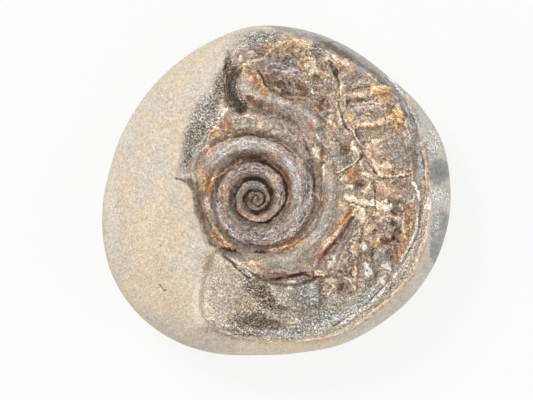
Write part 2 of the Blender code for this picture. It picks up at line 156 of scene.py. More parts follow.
# Places painted lighter or darker than their surface: partly the stone's own lighter and darker patches, partly
# painted light and shade (darker troughs, hollows and umbilicus, lighter crests and slopes that the lamps leave dark),
# as (amount, x, y, half length, half width, tilt), and the same along lines: (amount, half width, points).
SHADE_LIGHT_AND_TONE_SPOTS = (
    (-0.04, 240, 104, 16, 9, -8), (-0.2, 256, 200, 47, 45, 0), (-0.2, 206, 166, 9, 16, 15), (-0.30, 266, 58, 34, 22, -10), (-0.1, 300, 62, 8, 8, 0),
    (-0.12, 346, 68, 14, 8, -30), (-0.12, 318, 126, 10, 20, 0), (-0.34, 307, 192, 6, 24, 0), (-0.08, 227, 197, 5, 14, 0), (0.14, 292, 241, 14, 4, 30), (-0.1, 207, 182, 6, 13, 0),
    (-0.12, 300, 88, 9, 6, -20), (-0.1, 222, 125, 5, 4, 0), (-0.1, 256, 217, 13, 2.6, 0), (-0.06, 340, 232, 14, 20, -40), (0.3, 214, 187, 4, 11, 0), (0.25, 308, 164, 4, 8, 0), (0.2, 315, 178, 3, 10, 0), (-0.12, 256, 200, 18, 17, 0),
    (-0.15, 229, 78, 4, 18, 0), (0.12, 244, 87, 7, 8, 20), (-0.26, 284, 88, 16, 6, -20),
    (0.22, 286, 71, 20, 4, -22), (-0.12, 284, 61, 8, 4, 0), (-0.14, 252, 156, 20, 5, 0), (-0.3, 253, 180, 14, 4, 0),
    (-0.25, 273, 194, 4, 10, 10), (-0.2, 234, 197, 3, 12, 0), (-0.35, 257, 211, 7, 3, 0), (-0.2, 249, 197, 4, 8, 0),
    (-0.15, 228, 124, 5, 4, 0), (-0.3, 230, 251, 14, 4, -20), (-0.2, 262, 251, 10, 4, 0),
    (-0.16, 315, 54, 9, 10, 0), (-0.2, 335, 72, 4, 7, 0), (-0.4, 384, 93, 5.4, 2.6, 0), (-0.08, 380, 90, 10, 7, 0), (-0.12, 347, 88, 4, 3, 0), (-0.12, 394, 107, 6, 3, -20),
    (-0.06, 361, 100, 8, 3, 10), (-0.15, 368, 115, 5, 3, 0), (0.06, 392, 150, 16, 14, 0), (-0.1, 361, 133, 6, 7, 0),
    (-0.18, 397, 206, 8, 8, 0), (-0.1, 396, 238, 5, 12, -6), (-0.08, 405, 222, 5, 18, 0), (-0.2, 347, 161, 6, 6, 0), (-0.12, 322, 155, 4, 7, 0), (0.06, 382, 170, 9, 8, 0), (-0.1, 330, 190, 7, 8, 0),
    (-0.1, 358, 183, 6, 6, 0), (0.2, 380, 204, 9, 7, -5), (0.1, 382, 171, 9, 7, 0), (0.12, 362, 214, 8, 14, 0), (0.12, 368, 232, 7, 7, 0), (0.1, 356, 252, 6, 10, 0), (0.12, 326, 156, 4, 16, 0),
    (0.12, 338, 205, 5, 9, 0),
    (-0.1, 385, 221, 7, 5, 0),  (0.02, 258, 290, 12, 14, 25), (-0.06, 296, 302, 20, 8, 0), (-0.2, 214, 116, 5, 9, 40), (-0.1, 256, 120, 14, 4, 0), (0.1, 447, 208, 6, 10, 0),
    (0.08, 415, 274, 8, 24, 38), (-0.1, 284, 46, 24, 8, 10), (-0.08, 340, 62, 10, 6, 0), (-0.34, 302, 312, 20, 10, 0), (0.06, 437, 138, 6, 14, 0),
    (0.08, 278, 195, 5, 12, 0), (0.08, 388, 188, 13, 7, 0), (0.08, 366, 110, 14, 8, 0), (0.1, 381, 90, 9, 6, 0), (0.08, 405, 236, 5, 16, -10),
    (0.06, 368, 204, 14, 6, 0), (0.07, 214, 290, 12, 30, 0), (0.03, 150, 285, 26, 24, 0), (-0.03, 180, 215, 12, 34, 0),
    (-0.3, 260, 321, 20, 7, -6), (0.15, 296, 318, 8, 4, -10), (0.10, 378, 257, 6, 9, 0), (-0.12, 362, 298, 14, 10, 35),
    (-0.1, 330, 312, 24, 8, 12), (0.06, 372, 184, 48, 104, 0),
    (0.12, 201, 130, 24, 12, 58), (-0.06, 258, 240, 24, 5, 4), (-0.08, 211, 195, 5, 16, 0), (0.08, 405, 236, 6, 16, -6), (-0.12, 221, 90, 6, 16, -5), (-0.14, 260, 42, 13, 4, 5),
    (-0.2, 340, 52, 20, 4, -30), (-0.25, 384, 83, 22, 3, -42), (-0.15, 405, 112, 4, 14, 35), (-0.15, 415, 150, 5, 24, 0),
    (-0.26, 439, 172, 9, 9, 0), (-0.1, 449, 235, 4, 26, 14), (0.12, 440, 196, 10, 10, 0), (0.14, 444, 232, 9, 24, 8), (0.1, 394, 84, 26, 6, -44), (0.06, 435, 145, 6, 20, 15), (0.14, 400, 268, 16, 5, 55), (-0.06, 222, 290, 18, 30, 0), (0.06, 378, 262, 8, 10, 0),
    (0.06, 250, 350, 60, 5, 4), (0.03, 160, 230, 34, 60, 0), (-0.06, 408, 280, 20, 8, 44), (-0.05, 103, 200, 3, 60, 0), (0.05, 110, 220, 5, 50, 0),
    (-0.15, 337, 273, 5, 4, 0), 
)  # fmt: skip
SHADE_LIGHT_AND_TONE_LINES = (
    (0.42, 5.5, ((210, 148), (220, 136), (234, 129), (250, 126.5), (265, 127.5), (280, 133), (294, 145), (302, 156))),
    (-0.12, 2.0, ((246, 110), (262, 113), (280, 116), (294, 124), (303, 137), (308, 150))),
    (-0.16, 1.4, ((230, 136.5), (245, 135), (260, 136), (274, 138), (288, 145), (299, 157), (306, 170))),
    (0.22, 3.0, ((212, 141), (222, 133.5), (236, 130), (250, 129), (265, 130.5), (280, 136), (294, 147), (303, 158))),
    (-0.15, 5.0, ((190, 176), (196, 164), (203, 153), (210, 144))),
    (-0.2, 4.0, ((212, 323), (225, 330), (245, 335), (262, 338))),
    (-0.06, 3.0, ((222, 146), (234, 141), (249, 139), (266, 141), (282, 147), (295, 159))),
    (0.26, 4.0, ((302, 150), (309, 162), (314, 174), (316, 186), (314, 204), (304, 228), (286, 245), (262, 252),
                (240, 248))),
    (0.3, 3.5, ((219, 172), (213, 182), (211, 195), (212, 208), (216, 219), (223, 229), (233, 238))),
    (0.2, 3.0, ((233, 238), (245, 244), (258, 246))),
    (0.4, 1.8, ((345, 129), (352, 133), (355, 140), (359, 147), (362, 153), (368, 163), (373, 171), (380, 177))),

    (0.25, 1.6, ((272, 160.5), (280, 165.5), (286.5, 172), (290.5, 181), (292, 193), (290.5, 204))),
    (0.18, 5.5, ((214, 164), (224, 154), (236, 148), (250, 146), (266, 148), (279, 154), (290, 165), (296, 180),
                (298, 194))),
    (0.06, 5.0, ((252, 95), (286, 103), (308, 114), (318, 124))),
    (0.02, 6.0, ((330, 182), (328, 205), (318, 228), (302, 245), (284, 257), (266, 262))),
    (-0.08, 3.0, ((353, 213), (350, 222), (342, 234), (334, 244), (326, 252))),
    (-0.3, 2.5, ((266, 278), (280, 279), (296, 275), (310, 274))),
    (-0.25, 3.0, ((198, 182), (204, 202), (211, 222), (221, 242))),
    (0.22, 3.0, ((266, 172), (273, 180), (277, 192), (275, 206))),
    (0.36, 1.8, ((338, 84), (340, 95), (340, 105), (341, 113), (343, 122), (346, 129))),
    (0.07, 6.0, ((270, 28), (300, 30), (340, 46), (376, 70), (400, 92), (414, 116), (420, 150))),
    (0.12, 4.0, ((228, 184), (227, 196), (229, 210))),
    (-0.30, 2.6, ((247, 177), (256, 176.5), (265, 180), (271, 187), (273, 197), (271, 206), (265, 212), (258, 215))),
    (0.26, 5.0, ((210, 250), (206, 262), (203, 275), (200, 290), (197, 305), (200, 320))),
    (0.07, 14.0, ((194, 250), (190, 280), (190, 320))),
    (0.12, 14.0, ((434, 122), (442, 160), (444, 200), (440, 240), (424, 278), (398, 310), (352, 338), (300, 350),
                  (250, 350))),
    (0.04, 9.0, ((150, 80), (120, 130), (108, 200), (120, 270), (160, 320))),
    (-0.16, 2.0, ((320, 46), (343, 57), (364, 67), (379, 81), (394, 96), (405, 112), (414, 128))),
    (0.22, 2.5, ((290, 28), (320, 35), (350, 49), (376, 67), (397, 86), (408, 98))),
)  # fmt: skip

# Spots are (x, y, half length, half width, tilt in degrees), lines (half width, points), zones points.
SPOTS = {
    "soot": (
        (219, 90, 5, 16, -8), (210, 104, 14, 8, 45), (202, 128, 27, 12, 58), (240, 333, 28, 4, -6), (262, 38, 18, 6, 6), (188, 156, 10, 5, 70), (258, 40, 14, 4, 5),
        (212, 112, 10, 6, 45), (228, 64, 3, 10, -20), (256, 288, 14, 8, -40), (266, 300, 12, 8, -30), (262, 38, 16, 6, 6), (220, 86, 6, 9, -10),
        (258, 321, 24, 8, -6), (240, 326, 12, 4, -20), (234, 88, 7, 22, 6), (237, 102, 9, 7, 0),
        (320, 284, 2, 12, 0), (304, 292, 2, 10, 0), (250, 274, 6, 3, -40), (314, 52, 8, 9, 0), (300, 330, 8, 3, 0),
        (398, 112, 2, 6, 30), (316, 305, 12, 4, -5),
    ),
    "frost": (
        (205, 99, 6, 3, 50), (246, 36, 8, 3, 25), (200, 117, 8, 3.4, 40), (198, 148, 3, 6, -50),
        (296, 317, 8, 5, -10), (340, 317, 22, 5, 18), (256, 36, 6, 1.6, 10),
        (434, 140, 9, 18, -15), (440, 197, 11, 10, 0), (366, 301, 10, 4, 38), (437, 222, 3, 12, 0),
        (184, 172, 3, 6, 0), (300, 285, 2, 6, 10), (313, 288, 2, 6, 0),
    ),
    "grey": (
        (246, 88, 6, 9, 8), (256, 94, 6, 4, -10), (283, 103, 17, 5, -18), (307, 113, 8, 8, -40), (313, 117, 4, 10, -8),
        (318, 50, 8, 8, 0), (324, 45, 8, 4, -20), (333, 57, 10, 2.4, -30), (354, 76, 13, 7, -20), (348, 85, 4, 3, 0),
        (366, 81, 6, 4, 0), (331, 84, 5, 4, 0), (241, 121, 9, 5, 0), (250, 124, 16, 5, 0), (272, 124, 12, 5, -10),
        (286, 132, 12, 8, -20), (204, 160, 5, 12, 12), (223, 157, 9, 8, 30), (248, 146, 27, 7, 3), (295, 189, 6, 20, 0),
        (289, 166, 8, 12, 40), (256, 186, 13, 4, 0), (239, 198, 4, 10, 0), (258, 232, 8, 4, 0), (229, 213, 5, 8, -20),
        (331, 188, 6, 9, 0), (326, 215, 7, 13, -25), (305, 242, 14, 8, 45), (283, 261, 17, 8, 20), (316, 232, 8, 15, -35),
        (320, 124, 8, 12, -10), (347, 161, 5, 5, 0), (337, 158, 7, 8, 0), (333, 150, 5, 7, 0), (364, 168, 9, 3.4, -50),
        (385, 145, 8, 6, 0), (400, 150, 9, 15, 0), (409, 148, 5, 18, 0), (345, 126, 3, 12, -20), (378, 256, 6, 8, 0),
        (375, 264, 6, 7, 0), (404, 195, 4, 6, 20), (382, 180, 6, 2.4, 0), (395, 206, 5, 4, 0), (370, 286, 10, 6, 0),
        (303, 290, 18, 13, 0), (380, 258, 12, 11, 0), (372, 274, 9, 9, 0), (357, 193, 3, 3, 0), (337, 186, 4, 6, 0),
    ),
    "plum": (
        (286, 66, 24, 7, -18), (286, 60, 9, 4, -10), (278, 79, 15, 6, -25), (300, 86, 10, 7, -20), (255, 56, 9, 5, 10),
        (246, 53, 6, 5, 0), (318, 87, 10, 5, -8), (322, 101, 8, 6, 0), (361, 138, 5, 7, 0), (360, 110, 13, 4.6, 0),
        (368, 115, 4, 2.5, 0), (354, 225, 4, 10, 10), (351, 232, 4, 8, 20), (342, 245, 6, 5, 40), (338, 253, 5, 3, 30),
        (327, 263, 8, 5, 30), (333, 273, 5, 4, 0), (343, 242, 17, 6, 52), (350, 256, 9, 5, 70), (383, 223, 7, 5, 0), (352, 264, 4, 6, 0), (246, 169, 22, 5, 0),
        (218, 198, 4, 20, 0), (228, 198, 5, 15, 0), (308, 182, 4, 24, 0), (283, 196, 3, 14, 0), (262, 222, 20, 3, 4), (378, 104, 6, 4, 0),
        (372, 147, 4, 4, 0), (392, 246, 4, 6, 0), (361, 196, 2.5, 3, 0), (300, 72, 10, 3, -25), (266, 60, 10, 3, 10),
        (357, 186, 3, 5, 0),
    ),
    "tan": (
        (226, 190, 3, 9, 0), (256, 217, 14, 2.6, 0), (273, 184, 2.6, 8, -10), (206, 150, 5, 7, 25),
        (201, 172, 4, 8, 10), (218, 134, 9, 7, 30), (377, 148, 4, 7, 10), (371, 152, 6, 9, 0), (384, 189, 10, 8, 0),
        (396, 192, 6, 5, 0), (383, 170, 9, 7, 0), (380, 168, 8, 4, 0), (386, 173, 7, 4, 0), (376, 122, 22, 4.6, 8), (366, 107.6, 12, 2.2, 0), (358, 95, 9, 4, 5), (384, 100, 7, 5, 0),
        (288, 46, 20, 8, 10), (254, 78, 9, 8, -30), (258, 266, 10, 4, -20), (361, 214, 5, 10, 0), (369, 229, 7, 6, 0),
        (355, 249, 4, 5, 0), (344, 262, 3, 9, 0), (352, 277, 4, 5, 0), (329, 288, 6, 4, 0), (341, 208, 4, 9, 10),
        (407, 212, 4, 7, 0), (246, 56, 8, 6, 0), (330, 145, 9, 4, 0), (312, 130, 4, 10, 0), (380, 213, 7, 3, 0),
        (308, 62, 8, 10, 0), (343, 62, 9, 7, -10), (336, 229, 17, 5, 52), (325, 246, 8, 4, 50), (330, 124, 6, 7, 0), (362, 280, 3, 6, 0),
        (341, 178, 4, 4, 0), (365, 186, 4, 6, 0), (322, 112, 6, 3, 30), (318, 150, 6, 5, 0), (376, 238, 5, 4, 0),
        (268, 158, 6, 3, -20), (348, 72, 6, 4, 0), (340, 100, 3, 12, 0),
    ),
    # painted shade in hollows, under ridges and on slopes facing away from the light, with some darker patches of the
    # stone itself
    "shade_and_dark_patch": (
        (236, 103, 10, 12, 8), (229, 76, 3, 18, 3), (250, 108, 8, 3, -8), (266, 111, 14, 4, -8),
        (286, 119, 12, 4, -25), (250, 156, 18, 5, 2),
        (397, 206, 7, 7, 0), (396, 238, 2.6, 10, -6), (415, 150, 3, 22, 0), (347, 160, 3, 4, 0), (224, 249, 14, 4, -25),
        (262, 292, 9, 17, 25), (258, 321, 22, 6, -6), (280, 308, 8, 4, 0), (288, 278, 22, 3, -4), (322, 296, 3, 10, 0), (340, 52, 22, 2.4, -32), (383, 84, 18, 2.0, -42),
        (405, 112, 2, 12, 35), (361, 100, 7, 2, 10),
        (348, 274, 2, 4, 0), (370, 252, 4, 6, 0), (246, 199, 3, 7, 0), (257, 191, 6, 1.6, 0),
        (264, 197, 1.8, 5, 0), 
    ),
    "brown": (
        (278, 84, 15, 5, -20), (303, 93, 8, 4, -10), (300, 86, 7, 4, -30), (321, 105, 4, 8, -30), (222, 124, 5, 4, 0), (289, 46, 5, 3.6, 0), (268, 56, 4, 3, 0), (321, 156, 3, 6, 10),
        (322, 164, 4, 4, 0), (357, 183, 4.6, 6, 0), (345, 148, 6, 6, 0), (323, 154, 4, 6, 0), (396, 234, 3.6, 9, -8), (386, 241, 6, 4, 0),
        (392, 258, 3, 6, 0), (386, 96, 5, 3, -10), (258, 105, 10, 4, -8), (250, 99, 5, 4, -20), (225, 123, 5, 3, 40), (328, 105, 3, 8, 0),
        (316, 78, 5, 4, 0), (341, 286, 4, 4, 0), (375, 232, 4, 3, 0), (282, 172, 3, 8, 35), (350, 213, 4.6, 5.4, 0),
        (391, 107, 6, 2, -20), (329, 249, 8, 2.0, 38), (349, 216, 3, 4, 0), (347, 101, 3, 4, 0), (391, 173, 2.5, 2, 0),
        (361, 187, 2, 5, 0), (409, 222, 3, 5, 0), (345, 268, 2, 4, 0), (394, 222, 4, 4, 0), (211, 184, 3.4, 9, 0),
        (252, 157, 15, 3, 4), (284, 92, 8, 4, -20), (284, 61, 7, 3, -10), (270, 79, 7, 4, -40), (332, 290, 4, 4, 0), (352, 264, 2.4, 4, 0), (288, 275, 18, 2, -4),
    ),
    "rust": (
        (290, 45, 4, 2.6, 10), (256, 79, 7, 3, -45), (262, 89, 3, 6, 0), (352, 176, 4, 6.5, 0), (321, 202, 2.6, 8, 0),
        (288, 243, 18, 3.4, 18), (293, 240.5, 13, 3.6, 32), (210, 183, 5, 13, 0), (302, 235, 8, 3, 50), (218, 236, 9, 3.4, -48), (230, 246, 7, 3, -25), (210, 184, 3, 12, 0),
        (228, 124, 4, 3, 30), (386, 97, 6, 4, 0), (406, 214, 4, 8, 0), (404, 238, 3, 14, -14), (342, 222, 4, 3, 50),
        (399, 118, 6, 9, -20), (286, 178, 2, 10, 10), (243, 212, 5, 2, -40), (240, 161, 9, 2, 20), (346, 146, 3, 3, 0),
        (270, 48, 5, 3, 30), (402, 250, 2.4, 9, -20), (388, 227, 3, 2, 0), (270, 108, 6, 2.6, -10),
        (326, 287, 3, 3, 0), (222, 172, 8, 2.4, 30),
    ),
    "crust": (
        (306, 58, 4, 12, -20), (286, 42, 16, 5, 8), (270, 50, 6, 3, 35), (245, 68, 7, 2.4, 20), (254, 74, 6, 3, -30),
        (262, 86, 2.6, 6, -20), (268, 91, 4, 2, -30), (216, 132, 6, 8, 30), (230, 132, 4, 4, 0), (240, 133, 3, 3, 0),
        (338, 62, 7, 3, -25), (319, 72, 4, 3, 0), (222, 243, 9, 2.4, -42), (288, 248, 12, 2.4, 10),
        (205, 180, 2, 10, 0), (214, 238, 4, 3, -40), (388, 118, 6, 4, 0), (398, 126, 4, 5, 0), (394, 108, 3, 5, 0), (384, 99, 6, 3, 0), (385, 176, 12, 1.6, -4),
        (352, 196, 5, 3, 0), (410, 226, 2, 12, -10), (364, 126, 10, 2, 0), (308, 70, 4, 5, 0),
        (376, 243, 6, 4, 0),
    ),
    "ochre": (
        (374, 90, 4.6, 5.6, 0), (382, 89.5, 7.4, 3.6, 4), (400, 116, 3, 5, -20), (349, 118, 3, 4.4, 20),
        (326, 74, 3, 1.6, -30), (227, 240, 8, 2.0, -45),
        
         (300, 243, 8, 1.2, 30),
        (366, 114, 3, 1, 0), 
    ),
    "cream": (
        (230, 136, 4, 3, -10), (315, 153, 3.4, 6, 0), (370, 124.5, 12, 1.5, 3), (386, 122, 6, 1.4, 10), (347, 187, 3, 3.4, 0),
        (350, 198, 6, 3, -10), (364, 203, 8, 2.6, -10), (377, 204.5, 5, 5, -20), (385, 208, 6, 3.4, -10), (361, 214, 3.4, 9, 5),
        (363, 246, 3, 4, 0), (367, 187, 1.6, 5, -25), (390, 207, 2, 3, 0), (240, 60, 2.6, 2.6, 0), (251, 52, 3, 1.5, 0),
        (427, 207, 3.4, 3.4, 0), (260, 126, 2.6, 3.4, 0), (307, 65, 2.4, 5, -10), (336, 58, 5, 2.2, -30), (341, 86, 3, 5, 0),
        (345, 62, 3.4, 4, 0), (341, 178, 3, 3, 0), (380, 166, 5, 1.4, 10), (360, 95, 6, 2, 5), (207, 206, 3, 3, 50),
        (353, 276, 2.4, 4, 0), (240, 264, 8, 2.2, -35), (378, 140, 4, 1.6, 10), (314, 67, 1.6, 6, 30),
        (366, 174, 4, 2, -20), (369, 229, 4, 3, 0), (311, 72, 1.6, 4, 0), (276, 44, 6, 1.6, 30), (331, 265, 3, 4, 20),
        (398, 106, 2, 3, 0), (331, 280, 4, 1.5, 0), (336, 236, 1.4, 7, -45), (318, 272, 4, 2, 0), (216, 128, 3, 3, 0),
        (290, 282, 5, 1.6, 10), (378, 241, 1.8, 3, 0), (330, 120, 2, 7, -20), (394, 217, 5, 1.2, -20), (404, 134, 1.6, 4, 20),
        (296, 39, 4, 1.6, 0), (326, 60, 3, 2, 40), (366, 152, 2, 5, 30), (312, 92, 2, 2.4, 0), (325, 287, 2, 3, 0),
    ),
    "white": (
        (289.5, 287, 2.2, 2.4, 0), (241, 56, 1.6, 1.2, 0), (390, 207.5, 1.2, 3.4, 0),
        (372.4, 202, 1.4, 3.4, 0), (350, 198.4, 3.6, 1.2, -10), (351, 187, 2.6, 1.4, 10), (427, 207, 3, 3, 0),
        (364.4, 247, 2.4, 2.4, 0), (373.6, 88, 1.3, 2.0, 0), (381, 86.4, 6.4, 1.4, 0), (389, 88.4, 2.4, 0.9, -45),
        (371.4, 93, 0.9, 2.6, -15), (247, 116, 4, 1.0, -25), (362, 191, 2.6, 0.8, 0),
        (354.6, 148.6, 1.8, 5.2, 36), 
        (414, 185, 1.5, 3.4, 30), (312.3, 72, 1, 2.4, 0),
        (304.5, 64.5, 1, 1.6, 30), (298.4, 63.6, 0.9, 1.2, 0), (309.2, 74.7, 0.9, 0.9, 0), (348, 64.2, 0.9, 0.9, 0),
        (325, 80, 2.2, 0.9, 20), (411, 206, 0.8, 1.0, 0), (416.5, 208, 0.8, 1.0, 0), 
        (383, 282, 2, 5, 40), (393, 275, 1.4, 4, -35), (312.4, 93, 1.6, 1.6, 0), (386, 266, 3.6, 3, 0), (366.4, 267, 2.2, 4, 0), (367.4, 273, 2.4, 3, 0), (353, 142, 1.6, 1.6, 0), (334, 258, 1, 3.4, 20),
    ),
    # dark seams, gaps and hollows: partly the shell's dark fill, partly painted shade in these recesses
    "hollow": (
        (336, 73, 2.0, 4.6, -8), (331.5, 65.5, 1.6, 2.4, 45), (230, 250, 9, 1.8, -18),
        (262, 251, 6, 1.4, 0), (226.5, 74, 1.0, 12, 3), (256, 211.5, 5, 1.6, 0), (271.6, 194, 1.4, 6, 0),
        (248, 199, 1.2, 4, 0), (351, 275, 1.0, 3.4, 30), (393, 238, 2, 3, 0), 
    ),
    "lirae": (
        (262, 236, 36, 8, 4), (234, 232, 12, 6, -45), (309, 184, 5, 26, 0), (298, 222, 14, 7, 55), (281, 195, 4, 16, 0),
        (218, 200, 3, 18, 0), (246, 168, 16, 4, 10), (286, 70, 16, 5, -16),
    ),
    "blue": (
        (290, 333, 46, 4, -2), (352, 312, 22, 6, 28), (368, 298, 14, 7, 38), (203, 125, 8, 5, 50), (324, 318, 24, 7, 8),
         # the three spots on the next line lie along the whorl's crest as painted highlight
         (249, 144.5, 22, 2.6, 3), (290, 166, 11, 2.6, -50), (297, 190, 2.2, 16, 0),
        (256, 185, 9, 2, 0), (222, 153, 6, 3, 30), (310, 296, 10, 6, 0), (418, 232, 2, 10, -12),
    ),
    "warm": (
        (155, 285, 34, 24, 0), (155, 235, 30, 34, 0), (178, 83, 12, 8, 35), (185, 300, 14, 24, 0), (199, 59, 14, 6, 35),
        (177, 138, 4, 26, -6), (215, 262, 10, 7, 0), (296, 347, 40, 3, 0), (398, 292, 22, 4, 44),
        (436, 122, 3, 8, 20), (443, 140, 3, 20, -22), (186, 206, 6, 18, 0), (218, 284, 12, 14, 0), (140, 160, 8, 10, 0),
        (160, 130, 8, 6, 40), (128, 190, 6, 12, 0), (165, 190, 9, 12, 0), (427, 262, 5, 8, 30),
    ),
    "pale": (
        (196, 248, 6, 12, -6), (150, 165, 16, 14, 0), (212, 70, 10, 22, -30), (112, 240, 6, 40, 12),
        (204, 88, 8, 9, 0), (180, 264, 12, 6, 0), (130, 140, 10, 16, -20), (430, 275, 8, 26, 30),
        (370, 330, 30, 5, 25),
    ),
    "shade": (
        (439.5, 172, 12, 12.5, 0), (443, 232, 10, 20, 8), (438, 254, 8, 12, 25), (434, 153, 4, 5, 0),
    ),
    "earth": ((210, 262, 9, 10, 0), (232, 270, 12, 5, -38), (250, 300, 18, 16, 0), (262, 320, 28, 10, -4), (222, 86, 5, 12, 0)),
    "pit": ((161, 245.5, 1.3, 1.3, 0), (161, 286, 3.5, 0.8, -38), (165, 289.5, 3.0, 1.2, -10)),
}  # fmt: skip

